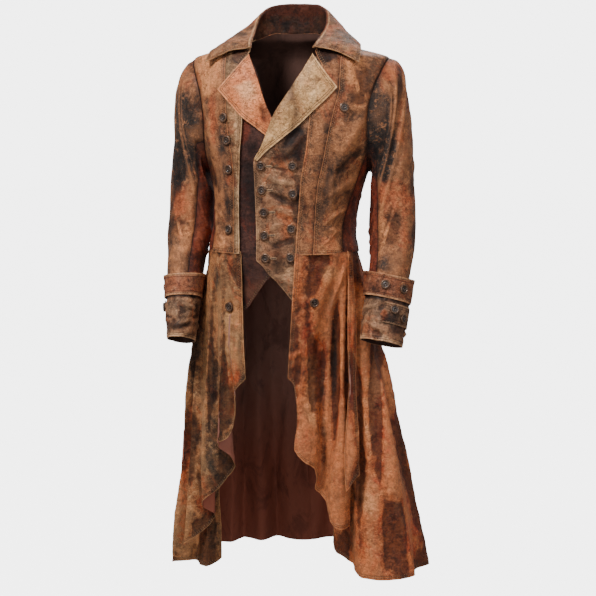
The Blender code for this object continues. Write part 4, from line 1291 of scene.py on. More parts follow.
    def marked(self, mesh: bpy.types.Mesh, where: tuple[Grid, Grid], moved: Grid) -> None:
        """Gives the mesh its UV map in metres, its stains and painted shade, folds and distance from
        stitched borders.
        """
        s, t = self.spans
        corner = np.empty(len(mesh.loops), int)
        mesh.loops.foreach_get("vertex_index", corner)
        flat = np.stack([s[where], t[where]], axis=-1)[corner]
        layer = mesh.uv_layers.active or mesh.uv_layers.new(name="UVMap")
        layer.data.foreach_set("uv", flat.astype(np.float32).ravel())
        points = self.points[where]
        rim = np.full(len(points), 1.0)
        for border in self.stitched:
            rim = np.minimum(rim, self.away(border, s, t)[where])
        # Painted shade beside the sewn seams, strongest at each seam.
        seam = np.zeros(len(points))
        for border in self.sewn:
            seam = np.maximum(seam, np.exp(-self.away(border, s, t)[where] / SEAM_SHADE_REACH))
        values = {"rim": rim, "seam": seam, "fold": np.clip(moved[where] / FOLD_FULL, -1, 1)}
        for tint in Tint:
            own = (stain.at(points) for stain in self.stains if stain.tint is tint)
            values[tint.value] = sum(own, np.zeros(len(points)))
        for patch in self.patches:
            values[patch.tint.value] += patch.over(where[0] / self.size[0], where[1] / self.size[1])
        values["stitched"] = np.full(len(points), 1.0 if self.stitched else 0.0)
        for name, value in values.items():
            attribute = mesh.attributes.new(name, "FLOAT", "POINT")
            attribute.data.foreach_set("value", value.astype(np.float32))

    def stitches(self, shop: Workshop) -> bpy.types.Object | None:
        """The rows of stitches along the panel's stitched borders."""
        insets = self.rows_of_thread
        rows = [self.row_of_thread(border, inset) for border in self.stitched for inset in insets]
        return Stitching(f"stitches_{self.name}", self.thread).build(shop, rows, self.leather.slot)

    def row_of_thread(self, border: Border, inset: float) -> tuple[Grid, Grid]:
        """The points and normals along a border, at a distance from it."""
        away = self.away(border, *self.spans)
        crosswise = border in (START, END)
        lines = (away, self.points, self.normals) if crosswise else tuple(
            np.swapaxes(a, 0, 1) for a in (away, self.points, self.normals)
        )
        far, points, normals = lines
        if border in (END, BOTTOM):
            far, points, normals = far[::-1], points[::-1], normals[::-1]
        count = far.shape[1]
        made = np.empty((2, count, 3))
        for k in range(count):
            for c in range(3):
                made[0, k, c] = np.interp(inset, far[:, k], points[:, k, c])
                made[1, k, c] = np.interp(inset, far[:, k], normals[:, k, c])
        keep = slice(None) if self.ring else self.clear_of_ends(made[0], inset)
        return made[0][keep], unit(made[1])[keep]

    @staticmethod
    def clear_of_ends(points: Grid, inset: float) -> slice:
        """The part of a row that stops short of its ends by its inset."""
        run = run_along(points)
        first = int(np.searchsorted(run, inset))
        last = int(np.searchsorted(run, run[-1] - inset))
        return slice(first, max(last, first + 2))


@dataclass
class Stitching:
    """Stitches of waxed thread, one modelled and the rest its copies.

    Attributes:
        name: the piece's name.
        thread: the thread's finish.
        pitch: the distance from stitch to stitch.
        length: a stitch's length.
        width: its width.
        height: its height.
        proud: how far its middle stands off the leather.
    """

    name: str
    thread: Hardware
    pitch: float = 0.0056
    length: float = 0.0040
    width: float = 0.0010
    height: float = 0.0007
    proud: float = 0.0001

    def build(self, shop: Workshop, rows: list[tuple[Grid, Grid]], slot: str) -> bpy.types.Object | None:
        """Lays the stitches along rows of points and normals.

        Args:
            shop: what the sub-assemblies share.
            rows: each row's points and normals.
            slot: the material slot that they go with.

        Returns:
            The piece, or None where there is no row.
        """
        spots = [spot for points, normals in rows for spot in self.spots(points, normals)]
        if not spots:
            return None
        alone()
        bpy.ops.mesh.primitive_ico_sphere_add(subdivisions=1, radius=0.5)
        model = bpy.context.object
        corners = np.array([v.co for v in model.data.vertices])
        faces = np.array([tuple(f.vertices) for f in model.data.polygons])
        corners = corners * (self.length, self.width, self.height)
        points = np.concatenate([middle + corners @ turn for middle, turn in spots])
        steps = np.arange(len(spots))[:, None, None] * len(corners)
        triangles = (faces[None] + steps).reshape(-1, 3)
        mesh = bpy.data.meshes.new(self.name)
        mesh.from_pydata(points.tolist(), [], triangles.tolist())
        mesh.materials.append(self.thread.material())
        mesh.shade_smooth()
        model.data = mesh
        model.name = self.name
        return shop.finished(model, slot)

    def spots(self, points: Grid, normals: Grid) -> Iterator[tuple[Grid, Grid]]:
        """Each stitch's middle and the directions of its length, width and height."""
        run = run_along(points)
        for at in np.arange(self.pitch / 2, run[-1], self.pitch):
            ends = [
                np.array([np.interp(x, run, points[:, c]) for c in range(3)])
                for x in (at - self.length / 2, at + self.length / 2)
            ]
            up = np.array([np.interp(at, run, normals[:, c]) for c in range(3)])
            along = unit(ends[1] - ends[0])
            aside = unit(np.cross(up, along))
            middle = (ends[0] + ends[1]) / 2 + unit(up) * self.proud
            yield middle, np.stack([along, aside, np.cross(along, aside)])


def edge_line(side: Side, table: Table) -> Line:
    """An edge from a table of heights and distances from the middle plane."""
    return lambda height: side.value * angle_at(side.value * line(table, height), height)


def seam_line(table: Table) -> Line:
    """An edge from a table of heights and angles in degrees."""
    return lambda height: np.radians(line(table, height))


def laid_panel(side: Side, inner: Line, outer: Line, top: Line, hem: Line, lift: Surface) -> Surface:
    """A surface laid on the figure's form between two edges, a top and a hem.

    Args:
        side: the wearer's side that it is on.
        inner: the angle of its inner edge at a height.
        outer: the angle of its outer edge at a height.
        top: the height of its top at a share of the way across.
        hem: the height of its hem at a share of the way across.
        lift: its distance from the form at an angle and height.

    Returns:
        The surface.
    """

    def surface(across: Grid, down: Grid) -> Grid:
        upper, lower = top(across), hem(across)
        height = upper + (lower - upper) * down
        start, end = inner(height), outer(height)
        angle = start + (end - start) * across
        return laid(side.value * angle, height, lift(angle, height))

    return surface


def level(value: float) -> Line:
    """The same height all the way across."""
    return lambda across: np.full_like(across, value)


@dataclass
class CoatBody:
    """The coat above the waist: front bands, fronts, side bodies and backs.

    Attributes:
        side: the wearer's side.
        edge: the front edge.
        band: the front band's outer edge.
    """

    side: Side
    edge: Table
    band: Table

    def lift(self, angle: Grid, height: Grid) -> Grid:
        """How far the coat stands off the form."""
        return coat_lift(angle)

    def band_side(self, height: Grid) -> Grid:
        """The front band's outer edge, which ends at the shoulder seam."""
        return np.minimum(edge_line(self.side, self.band)(height), math.pi / 2)

    def front_side(self, height: Grid) -> Grid:
        """The front's outer edge: the shoulder seam, the armhole and the side seam."""
        hole = armhole_angle(height, ARMHOLE_FORWARD)
        edge = np.where(height > CHEST_JOIN, hole, seam_line(SIDE_SEAM)(height))
        return np.where(height > SHOULDER_TIP, math.pi / 2, edge)

    def back_side(self, height: Grid) -> Grid:
        """The back's outer edge: the shoulder seam, the armhole and the back seam."""
        hole = armhole_angle(height, -ARMHOLE_BACKWARD) - ARMHOLE_TUCK
        edge = np.where(height > BACK_JOIN, hole, seam_line(BACK_SEAM)(height))
        return np.where(height > SHOULDER_TIP, math.pi / 2, edge)

    def side_surface(self, across: Grid, down: Grid) -> Grid:
        """The side body, from the armhole's floor to the waist."""
        first, last = np.radians(SIDE_SEAM[0][1]), np.radians(BACK_SEAM[0][1])
        top = armhole_floor(first + (last - first) * across)
        height = top + (WAIST - top) * down
        start, end = seam_line(SIDE_SEAM)(height), seam_line(BACK_SEAM)(height)
        angle = start + (end - start) * across
        return laid(self.side.value * angle, height, coat_lift(angle))

    def stains(self) -> tuple[Stain, ...]:
        """The smoke round the buttons and over the chest, the bare shoulders, and painted shade by the
        collar and lapels.
        """
        if self.side is RIGHT:
            # Painted shade: the deep mark in the hollow under the collar's end, and the soot beside the
            # lapel's point.
            return Stain.rows(
                (SOOT_AND_SHADE, -0.132, -0.215, 0.018, 0.07, 0.75), (SOOT_AND_SHADE, -0.122, -0.375, 0.018, 0.07, 0.75),
                (SOOT_AND_SHADE, -0.145, -0.12, 0.014, 0.036, 0.65), (DEEP, -0.096, -0.034, 0.016, 0.016, 3.0),
                (PALE, -0.17, -0.068, 0.044, 0.056, 1.5), (WARM, -0.158, -0.18, 0.014, 0.08, 0.7),
                (PALE, -0.096, -0.33, 0.01, 0.15, 0.7), (WARM, -0.108, -0.29, 0.012, 0.07, 0.55),
                (PALE, -0.15, -0.455, 0.04, 0.02, 0.55),
            )
        # Painted shade: the deep mark in the hollow under the collar's end, and the soot beside the lapel's
        # point.
        return Stain.rows(
            (SOOT_AND_SHADE, 0.112, -0.31, 0.03, 0.085, 0.85), (SOOT_AND_SHADE, 0.135, -0.11, 0.02, 0.035, 0.55),
            (DEEP, 0.096, -0.032, 0.024, 0.014, 3.0), (WARM, 0.128, -0.145, 0.02, 0.028, 0.75),
            (PALE, 0.165, -0.06, 0.026, 0.03, 0.9), (PALE, 0.172, -0.12, 0.022, 0.05, 0.75),
            (PALE, 0.13, -0.235, 0.03, 0.03, 0.55), (WARM, 0.15, -0.41, 0.016, 0.07, 0.7),
            (WARM, 0.058, -0.25, 0.014, 0.07, 0.65), (SOOT_AND_SHADE, 0.056, -0.405, 0.012, 0.05, 0.6),
            (SOOT_AND_SHADE, 0.076, -0.2, 0.008, 0.05, 0.6), (PALE, 0.11, -0.46, 0.05, 0.016, 0.6),
        )

    def back_stains(self) -> tuple[Stain, ...]:
        """Smoke low on the shoulder blades, and wear on the shoulders."""
        s = self.side.value
        return Stain.rows(
            (SOOT_AND_SHADE, 0.11 * s, -0.19, 0.06, 0.08, 0.48), (SOOT_AND_SHADE, 0.05 * s, -0.4, 0.04, 0.08, 0.4),
            (PALE, 0.15 * s, -0.05, 0.07, 0.04, 0.45), (WARM, 0.07 * s, -0.3, 0.05, 0.09, 0.45),
        )

    def drags(self) -> tuple[Drag, ...]:
        """The front's folds, from the armhole to the waist."""
        if self.side is RIGHT:
            return Drag.rows(
                ((-0.185, -0.13), (-0.15, -0.25), 0.011, 0.0026, 0.004),
                ((-0.172, -0.27), (-0.145, -0.35), 0.009, -0.0022),
                ((-0.165, -0.38), (-0.135, -0.455), 0.008, 0.0022, 0.003),
                ((-0.12, -0.13), (-0.124, -0.3), 0.007, -0.0016, 0.003),
                ((-0.16, -0.455), (-0.12, -0.462), 0.006, 0.0016),
            )
        return Drag.rows(
            ((0.186, -0.15), (0.13, -0.26), 0.012, 0.0032, -0.008),
            ((0.18, -0.23), (0.12, -0.3), 0.01, -0.0028, -0.006),
            ((0.176, -0.29), (0.11, -0.345), 0.01, 0.0028, -0.005),
            ((0.165, -0.37), (0.105, -0.4), 0.009, 0.0022, 0.004),
            ((0.16, -0.44), (0.095, -0.42), 0.008, 0.002, 0.004),
            ((0.19, -0.06), (0.178, -0.15), 0.009, -0.0022, 0.003),
            ((0.16, -0.06), (0.15, -0.13), 0.009, 0.002),
        )

    def panels(self) -> list[Panel]:
        """The four panels of this side."""
        word, reverse = self.side.word, self.side is RIGHT
        hem, inner = level(WAIST), edge_line(self.side, self.edge)
        middle = edge_line(self.side, self.band)
        front = Crease.rows(
            (0.55, 0.3, 62, 0.07, 0.01, 0.0022, 0.006), (0.75, 0.42, 40, 0.05, 0.008, 0.0018),
            (0.4, 0.7, 84, 0.07, 0.008, 0.0018, 0.004), (0.7, 0.86, 15, 0.045, 0.007, 0.0018, -0.003),
            (0.35, 0.93, 8, 0.035, 0.006, 0.0014),
        )
        back = Crease.rows(
            (0.4, 0.36, 70, 0.09, 0.012, 0.0026, -0.008), (0.62, 0.52, 82, 0.08, 0.01, 0.0018),
            (0.35, 0.78, 20, 0.06, 0.008, 0.002, 0.004), (0.7, 0.88, 5, 0.06, 0.007, 0.0018),
            (0.3, 0.93, -8, 0.05, 0.006, 0.0014),
        )
        side = Crease.rows(
            (0.5, 0.3, 10, 0.035, 0.007, 0.0016), (0.5, 0.62, -12, 0.035, 0.007, 0.0018),
            (0.5, 0.84, 6, 0.035, 0.006, 0.0016),
        )
        return [
            Panel(
                f"front_band_{word}",
                laid_panel(self.side, inner, self.band_side, level(NECK), hem, self.lift),
                (20, 150), reverse, TAN_LEATHER if reverse else BROWN_LEATHER,
                (0.075, 0.500), 0.0170 if reverse else 0.0246, rests_on=(f"front_{word}", "collar"),
                stitched=(START, BOTTOM), sewn=(END,), stains=self.stains(),
            ),
            Panel(
                f"front_{word}",
                laid_panel(self.side, middle, self.front_side, level(FRONT_TOP), hem, self.lift),
                (52, 160), reverse, BROWN_LEATHER, (0.150, 0.470), 0.048,
                rests_on=(f"side_body_{word}", f"back_{word}"), stitched=(START, BOTTOM),
                sewn=(START, END), creases=front, drags=self.drags(), stains=self.stains(),
            ),
            Panel(
                f"side_body_{word}", self.side_surface,
                (36, 70), reverse, RED_LEATHER, (0.150, 0.235), 0.0306, rests_on=(f"back_{word}",),
                sewn=(START, END, BOTTOM, TOP), creases=side,
            ),
            Panel(
                f"back_{word}",
                laid_panel(self.side, self.back_side, level(math.pi), nape, hem, self.lift),
                (64, 160), reverse, BROWN_LEATHER, (0.235, 0.500), 0.094, rests_on=("collar",),
                stitched=(BOTTOM,), sewn=(START, END), creases=back, stains=self.back_stains(),
            ),
        ]


@dataclass
class Waistcoat:
    """The built-in double-breasted waistcoat, the wearer's left over the right.

    Attributes:
        top: the height of its top.
    """

    top: float = -0.040

    @staticmethod
    def left_lift(angle: Grid, height: Grid) -> Grid:
        """The left front lies over the right one, and stands up along the lapel's roll."""
        over_lapel = ramp(-0.075, -0.145, height) * (1 - ramp(-0.235, -0.275, height))
        near = 1 - ramp(math.radians(6), math.radians(24), angle)
        return VEST_LIFT_LEFT + VEST_LIFT_ROLL * over_lapel * near

    def panels(self) -> list[Panel]:
        """The two fronts."""
        # The deep marks are painted shade under the left lapel and in the hollows between the folds.
        stains = Stain.rows(
            (DEEP, 0.04, -0.215, 0.04, 0.03, 1.1), (DEEP, 0.012, -0.258, 0.03, 0.014, 0.7),
            (DEEP, 0.05, -0.27, 0.016, 0.03, 0.6), (WARM, 0.02, -0.405, 0.03, 0.04, 0.7),
            (WARM, -0.01, -0.475, 0.03, 0.02, 0.55), (PALE, -0.03, -0.32, 0.014, 0.04, 0.5),
            (PALE, -0.048, -0.42, 0.01, 0.11, 0.7), (PALE, 0.02, -0.315, 0.03, 0.012, 0.6),
            (DEEP, 0.004, -0.36, 0.026, 0.012, 0.5), (SOOT_AND_SHADE, 0.046, -0.35, 0.01, 0.06, 0.75),
            (PALE, 0.03, -0.52, 0.034, 0.02, 0.7), (SOOT_AND_SHADE, 0.01, -0.545, 0.04, 0.012, 0.4),
        )
        # The deep mark is painted shade on the right front beside the left front's edge.
        behind = Stain.rows(
            (WARM, -0.078, -0.2, 0.016, 0.026, 1.2), (DEEP, -0.06, -0.24, 0.02, 0.024, 0.7),
            (PALE, -0.05, -0.57, 0.04, 0.03, 1.4),
        )
        drags = Drag.rows(
            ((0.004, -0.266), (0.066, -0.196), 0.009, 0.0034, 0.004),
            ((0.01, -0.24), (0.05, -0.196), 0.008, -0.0026),
            ((-0.034, -0.298), (0.046, -0.318), 0.01, 0.003, 0.005),
            ((-0.03, -0.276), (0.04, -0.288), 0.007, -0.002, 0.003),
            ((-0.02, -0.352), (0.048, -0.392), 0.011, 0.0032, 0.006),
            ((-0.026, -0.336), (0.036, -0.356), 0.008, -0.0026, 0.004),
            ((-0.022, -0.42), (0.03, -0.406), 0.009, 0.0026, -0.004),
            ((-0.018, -0.46), (0.036, -0.44), 0.008, -0.002),
            ((0.045, -0.3), (0.04, -0.42), 0.008, -0.0022, 0.004),
            ((-0.01, -0.52), (0.06, -0.56), 0.009, 0.0018),
        )
        return [
            Panel(
                "vest_front_left",
                laid_panel(
                    LEFT, edge_line(LEFT, VEST_EDGE_LEFT), edge_line(LEFT, VEST_SIDE_LEFT),
                    level(self.top), lambda across: line(VEST_HEM_LEFT, across), self.left_lift,
                ),
                (56, 190), False, GREY_LEATHER, (0.120, 0.580), 0.0606,
                rests_on=("vest_front_right", "front_left"), stitched=(START, BOTTOM), drags=drags,
                stains=stains,
            ),
            Panel(
                "vest_front_right",
                laid_panel(
                    RIGHT, edge_line(RIGHT, VEST_EDGE_RIGHT), edge_line(RIGHT, VEST_SIDE_RIGHT),
                    level(self.top), lambda across: line(VEST_HEM_RIGHT, across),
                    lambda angle, height: np.full_like(angle, VEST_LIFT_RIGHT),
                ),
                # The right front is darkened as painted shade, as it lies under the left front.
                (50, 190), True, PAINTED_SHADE_LEATHER, (0.125, 0.580), 0.0582, rests_on=("front_right",),
                stitched=(START, BOTTOM), stains=behind,
            ),
        ]


@dataclass
class Lapel:
    """A wide lapel, from its roll line out to its edge.

    Attributes:
        side: the wearer's side.
        table: its roll and its outer edge, from the gorge down.
        leather: its finish.
        cut: the width and length that it was cut to.
        area: the cut's area.
    """

    side: Side
    table: Table
    leather: Leather
    cut: tuple[float, float]
    area: float

    def surface(self, across: Grid, down: Grid) -> Grid:
        """Its outer face."""
        last = len(self.table) - 1
        rows = [(i / last, *row) for i, row in enumerate(self.table)]
        roll_x, roll_z, outer_x, outer_z, roll_lift, outer_lift = np.moveaxis(smooth(rows, down), -1, 0)
        x = roll_x + (outer_x - roll_x) * across
        height = roll_z + (outer_z - roll_z) * across
        lift = roll_lift + (outer_lift - roll_lift) * ramp(0.0, 0.25, across)
        s = self.side.value
        return laid(angle_at(s * x, height), height, lift)

    def panel(self) -> Panel:
        """The lapel's panel."""
        s = self.side.value
        # Painted shade: soot marks along the lapel's top edge, in the notch under the collar's end.
        stains = Stain.rows(
            (SOOT_AND_SHADE, 0.14 * s, -0.092, 0.014, 0.016, 0.9),
            (SOOT_AND_SHADE, 0.112 * s, -0.062, 0.014, 0.024, 0.8 if s < 0 else 0.3),
            (PALE, 0.07 * s, -0.11, 0.03, 0.05, 0.55),
            (WARM, 0.055 * s, -0.19, 0.04, 0.024, 0.55 if s < 0 else 0.25),
        )
        return Panel(
            f"lapel_{self.side.word}", self.surface,
            (52, 120), self.side is RIGHT, self.leather, self.cut, self.area, held="folded",
            rests_on=(f"front_{self.side.word}", f"front_band_{self.side.word}"), stitched=(END, TOP),
            stains=stains,
        )


@dataclass
class Collar:
    """The collar in one piece: down the fall, over the fold and in to the neck seam.

    Attributes:
        places: where the rows of its profile lie on the way, from the neck seam to the fall's edge.
    """

    places: tuple[float, ...] = (0.0, 0.27, 0.46, 0.52, 0.58, 0.70, 0.85, 1.0)

    def seam(self, share: Grid) -> Grid:
        """The neck seam's line on the coat."""
        side = np.where(share < 0, -1.0, 1.0)
        behind = np.clip(np.abs(share) / COLLAR_SHOULDER, 0, 1)
        before = np.clip((np.abs(share) - COLLAR_SHOULDER) / (1 - COLLAR_SHOULDER), 0, 1)
        height = np.where(before > 0, NECK - COLLAR_DROP * before**2.5, nape(1 - behind))
        ahead = angle_at(line(EDGE_LEFT, height), height)
        angle = np.where(before > 0, np.minimum(ahead, math.pi / 2), math.pi - behind * math.pi / 2)
        return laid(side * angle, height, coat_lift(angle))

    def surface(self, across: Grid, down: Grid) -> Grid:
        """Its outer face, from the fall's edge to the neck seam."""
        share = across * 2 - 1
        values = smooth(COLLAR, np.abs(share))
        side = np.where(share < 0, -1.0, 1.0)
        mirror = np.stack([side, np.ones_like(share), np.ones_like(share)], axis=-1)
        fold, edge = values[..., 0:3] * mirror, values[..., 3:6] * mirror
        before = np.clip((np.abs(share) - COLLAR_SHOULDER) / (1 - COLLAR_SHOULDER), 0, 1)
        step = 0.02
        flat, up = np.array([1.0, 1.0, 0.0]), np.array([0.0, 0.0, 1.0])
        along = self.seam(np.minimum(share + step, 1.0)) - self.seam(np.maximum(share - step, -1.0))
        inward = unit(np.cross(along * flat, -up))
        clear = (LEATHER + 0.0003) * (1 + ramp(0.0, 0.4, before))
        seam = self.seam(share) + inward * clear[..., None] + up * 0.0006
        out = unit((edge - fold) * flat)
        stand = seam + (fold - seam) * 0.5
        reach = edge - fold - out * COLLAR_FOLD
        fall = [fold + out * COLLAR_FOLD + reach * t for t in (0.3, 0.65, 1.0)]
        full = [p + out * puff + up * puff for p, puff in zip(fall, (0.0035, 0.0030, 0.0))]
        rounded = [fold - out * COLLAR_FOLD - up * 0.0030, fold, fold + out * COLLAR_FOLD - up * 0.0022]
        profile = np.stack([seam, stand, *rounded, *full])
        return through(np.array(self.places), profile, 1 - down)

    def panel(self) -> Panel:
        """The collar's panel."""
        creases = Crease.rows(
            (0.3, 0.25, 70, 0.025, 0.006, 0.0012), (0.68, 0.22, 100, 0.025, 0.006, 0.0012),
            (0.5, 0.24, 85, 0.03, 0.008, 0.001),
        )
        stains = Stain.rows(
            (PALE, -0.07, 0.03, 0.018, 0.03, 0.6), (PALE, 0.1, 0.01, 0.024, 0.026, 0.4),
            (SOOT_AND_SHADE, -0.12, -0.004, 0.026, 0.02, 0.62), (SOOT_AND_SHADE, 0.13, -0.004, 0.03, 0.016, 0.55),
            (SOOT_AND_SHADE, -0.05, 0.06, 0.02, 0.014, 0.45), (WARM, 0.01, 0.072, 0.08, 0.014, 0.85),
        )
        return Panel(
            "collar", self.surface, (180, 64), False, COLLAR_LEATHER, (0.520, 0.150), 0.0744,
            held="folded", rests_on=("back_left", "back_right", "front_band_left", "front_band_right"),
            stitched=(TOP, START, END), creases=creases,
            # Painted shade inside the neck, on the stand and under the fold, where the smoke is cleared;
            # along the fold's crest, rubbed wear and a painted highlight.
            patches=Patch.rows(
                (SOOT_AND_SHADE, 0.5, 0.78, 0.6, 0.27, -2.0), (DEEP, 0.5, 0.78, 0.48, 0.27, 1.3),
                (DEEP, 0.5, 0.56, 0.4, 0.07, 0.45), (WARM, 0.5, 0.58, 0.4, 0.1, 0.7),
                (PALE, 0.5, 0.47, 0.6, 0.025, 0.9),
            ),
            ripples=(Ripples(21, 0.060, 0.0005), Ripples(22, 0.028, 0.00025)), stains=stains,
        )


def through(places: Grid, rows: Grid, at: Grid) -> Grid:
    """A curve through rows of points, each grid point with rows of its own.

    Args:
        places: where the rows lie on the way.
        rows: the rows' points, with the rows as the first axis.
        at: where each grid point is on the way.

    Returns:
        The grid's points.
    """
    slope = gentle_slopes(places, rows)
    at = np.clip(at, places[0], places[-1])
    low = np.clip(np.searchsorted(places, at, side="right") - 1, 0, len(places) - 2)
    step = (places[low + 1] - places[low])[..., None]
    t = (at - places[low])[..., None] / step

    def pick(table: Grid, index: Grid) -> Grid:
        """Each grid point's own row."""
        return np.take_along_axis(table, index[None, ..., None], axis=0)[0]

    rise, fall = pick(slope, low) * step, pick(slope, low + 1) * step
    return eased(pick(rows, low), pick(rows, low + 1), rise, fall, t)


@dataclass
class Sleeve:
    """A two-piece sleeve with its upper cuff, lower cuff and the strap across the lower one.

    Attributes:
        side: the wearer's side.
        table: the sleeve's middle line and half sizes, down from the armhole.
        cuff_upper: the upper cuff's shares of the way down and its lifts.
        strap_ends: the strap's two ends round the arm, in degrees.
    """

    side: Side
    table: Table
    cuff_upper: Table
    strap_ends: tuple[float, float]

    def point(self, share: Grid, turn: Grid, lift: Grid) -> Grid:
        """Points a share of the way down the sleeve and a turn round it, the outer side first."""
        x, y, z, lean, half_width, half_depth = np.moveaxis(smooth(self.table, share), -1, 0)
        lean, pitch = np.radians(lean), math.radians(SLEEVE_PITCH) * ramp(0.6, 1.0, share)
        zero = np.zeros_like(lean)
        out = np.stack([np.cos(lean), zero, np.sin(lean)], axis=-1)
        ahead = np.stack([zero, -np.cos(pitch), np.sin(pitch)], axis=-1)
        wide = ((half_width + lift) * np.cos(turn))[..., None]
        deep = ((half_depth + lift) * np.sin(turn))[..., None]
        tube = np.stack([x, y, z], axis=-1) + out * wide + ahead * deep
        height = ARMHOLE_MIDDLE + (ARMHOLE_HALF_HEIGHT + lift) * np.cos(turn)
        front = armhole_angle(height, ARMHOLE_FORWARD, lift)
        back = armhole_angle(height, -ARMHOLE_BACKWARD, lift)
        angle = np.where(np.sin(turn) > 0, front, back)
        own_side = np.array([self.side.value, 1.0, 1.0])
        hole = laid(self.side.value * angle, height, SLEEVE_LIFT + 0 * height) * own_side
        away = ramp(0.0, SLEEVE_BLEND, share)[..., None]
        return (hole + (tube - hole) * away) * own_side

    def part(self, first: float, last: float, turns: tuple[float, float], lifts: tuple) -> Surface:
        """A part of the sleeve.

        Args:
            first: the share of the way down where it starts.
            last: the share of the way down where it ends.
            turns: the two turns that it lies between, in radians.
            lifts: shares of the way down and the part's lift at each.

        Returns:
            Its surface.
        """

        def surface(across: Grid, down: Grid) -> Grid:
            share = first + (last - first) * down
            lift = line(lifts, share)
            turn = turns[0] + (turns[1] - turns[0]) * across
            return self.point(share, turn, lift)

        return surface

    def creases(self) -> tuple[Crease, ...]:
        """The upper sleeve's folds: drag lines from the shoulder, and the bent elbow's wrinkles."""
        if self.side is LEFT:
            return Crease.rows(
                (0.7, 0.17, 82, 0.11, 0.017, 0.0034, 0.008), (0.86, 0.2, 86, 0.12, 0.015, 0.0036, -0.006),
                (0.97, 0.14, 92, 0.07, 0.012, 0.0026, 0.004), (0.8, 0.42, 64, 0.06, 0.015, 0.003, 0.006),
                (0.92, 0.49, 18, 0.05, 0.013, 0.0036, 0.006), (0.76, 0.55, 8, 0.05, 0.014, 0.003, -0.005),
                (0.88, 0.63, -10, 0.048, 0.012, 0.0026, 0.004),
                (0.74, 0.76, 78, 0.07, 0.016, 0.0028, -0.004), (0.92, 0.82, 84, 0.06, 0.013, 0.0026, 0.006),
                (0.6, 0.9, 20, 0.04, 0.012, 0.0022, 0.004), (0.3, 0.48, 10, 0.06, 0.015, 0.003, 0.006),
                (0.2, 0.57, -14, 0.05, 0.014, 0.0028, 0.004), (0.35, 0.2, 78, 0.1, 0.018, 0.0034, 0.008),
                (0.15, 0.25, 88, 0.09, 0.016, 0.003, -0.008), (0.25, 0.77, 84, 0.08, 0.016, 0.0026, -0.006),
            )
        return Crease.rows(
            (0.66, 0.18, 86, 0.11, 0.017, 0.0034, 0.008), (0.84, 0.22, 90, 0.12, 0.015, 0.0034, -0.006),
            (0.96, 0.14, 84, 0.07, 0.012, 0.0026, 0.004), (0.76, 0.43, 112, 0.06, 0.015, 0.003, 0.006),
            (0.9, 0.5, 172, 0.048, 0.012, 0.0034, 0.005), (0.72, 0.61, 184, 0.056, 0.012, 0.0032, -0.004),
            (0.78, 0.69, 176, 0.058, 0.011, 0.0034, 0.004), (0.74, 0.77, 190, 0.05, 0.012, 0.003, 0.004),
            (0.8, 0.85, 172, 0.052, 0.011, 0.0026, -0.004), (0.88, 0.92, 186, 0.04, 0.01, 0.0022, 0.002),
            (0.3, 0.46, 168, 0.06, 0.015, 0.003, 0.006), (0.22, 0.56, 194, 0.05, 0.014, 0.0028, 0.004),
            (0.35, 0.2, 98, 0.1, 0.018, 0.0034, 0.008), (0.15, 0.26, 90, 0.09, 0.016, 0.003, -0.008),
            (0.25, 0.76, 96, 0.08, 0.016, 0.0026, -0.006),
        )

    def under_creases(self) -> tuple[Crease, ...]:
        """The under-sleeve's folds, close together in the bend of the elbow."""
        return Crease.rows(
            (0.25, 0.12, 84, 0.05, 0.008, 0.0022, 0.004), (0.65, 0.16, 96, 0.06, 0.008, 0.0022, -0.004),
            (0.3, 0.42, 12, 0.045, 0.007, 0.0024, 0.003), (0.55, 0.5, -8, 0.045, 0.007, 0.0024, -0.003),
            (0.35, 0.57, 18, 0.045, 0.007, 0.0022, 0.003), (0.5, 0.72, 86, 0.07, 0.009, 0.0022, 0.004),
            (0.25, 0.88, 60, 0.035, 0.007, 0.0018),
        )

    def stains(self) -> tuple[Stain, ...]:
        """The sleeve's smoke and its burnished and bare places."""
        if self.side is LEFT:
            return Stain.rows(
                (SOOT_AND_SHADE, 0.208, -0.19, 0.036, 0.12, 1.3), (SOOT_AND_SHADE, 0.23, -0.265, 0.044, 0.044, 0.9),
                (WARM, 0.228, -0.062, 0.03, 0.034, 0.9), (WARM, 0.262, -0.2, 0.018, 0.11, 0.6),
                (WARM, 0.24, -0.35, 0.05, 0.045, 0.75), (PALE, 0.232, -0.43, 0.034, 0.036, 0.65),
                (PALE, 0.215, -0.12, 0.012, 0.09, 0.3), (SOOT_AND_SHADE, 0.236, -0.5, 0.028, 0.024, 0.8),
                (WARM, 0.27, -0.44, 0.012, 0.07, 0.6),
            )
        return Stain.rows(
            (WARM, -0.208, -0.058, 0.024, 0.03, 0.6), (SOOT_AND_SHADE, -0.24, -0.205, 0.05, 0.115, 1.25),
            (SOOT_AND_SHADE, -0.262, -0.31, 0.02, 0.04, 0.55), (WARM, -0.25, -0.372, 0.034, 0.036, 0.85),
            (PALE, -0.25, -0.432, 0.034, 0.014, 0.75), (SOOT_AND_SHADE, -0.25, -0.5, 0.034, 0.03, 0.42),
            (PALE, -0.24, -0.47, 0.026, 0.008, 0.45),
        )

    def panels(self) -> list[Panel]:
        """The sleeve's five panels."""
        word, reverse = self.side.word, self.side is LEFT
        whole = 2 * math.pi
        flat = ((0.0, 0.0), (1.0, 0.0))
        ripples = (Ripples(31 + self.side.value, 0.080, 0.0012, 1.6), Ripples(34, 0.036, 0.0004, 1.3, 0.5))
        cuff_ripples = (Ripples(36, 0.044, 0.0016, 0.7, 0.5), Ripples(37, 0.020, 0.0006, 0.8, 0.4))
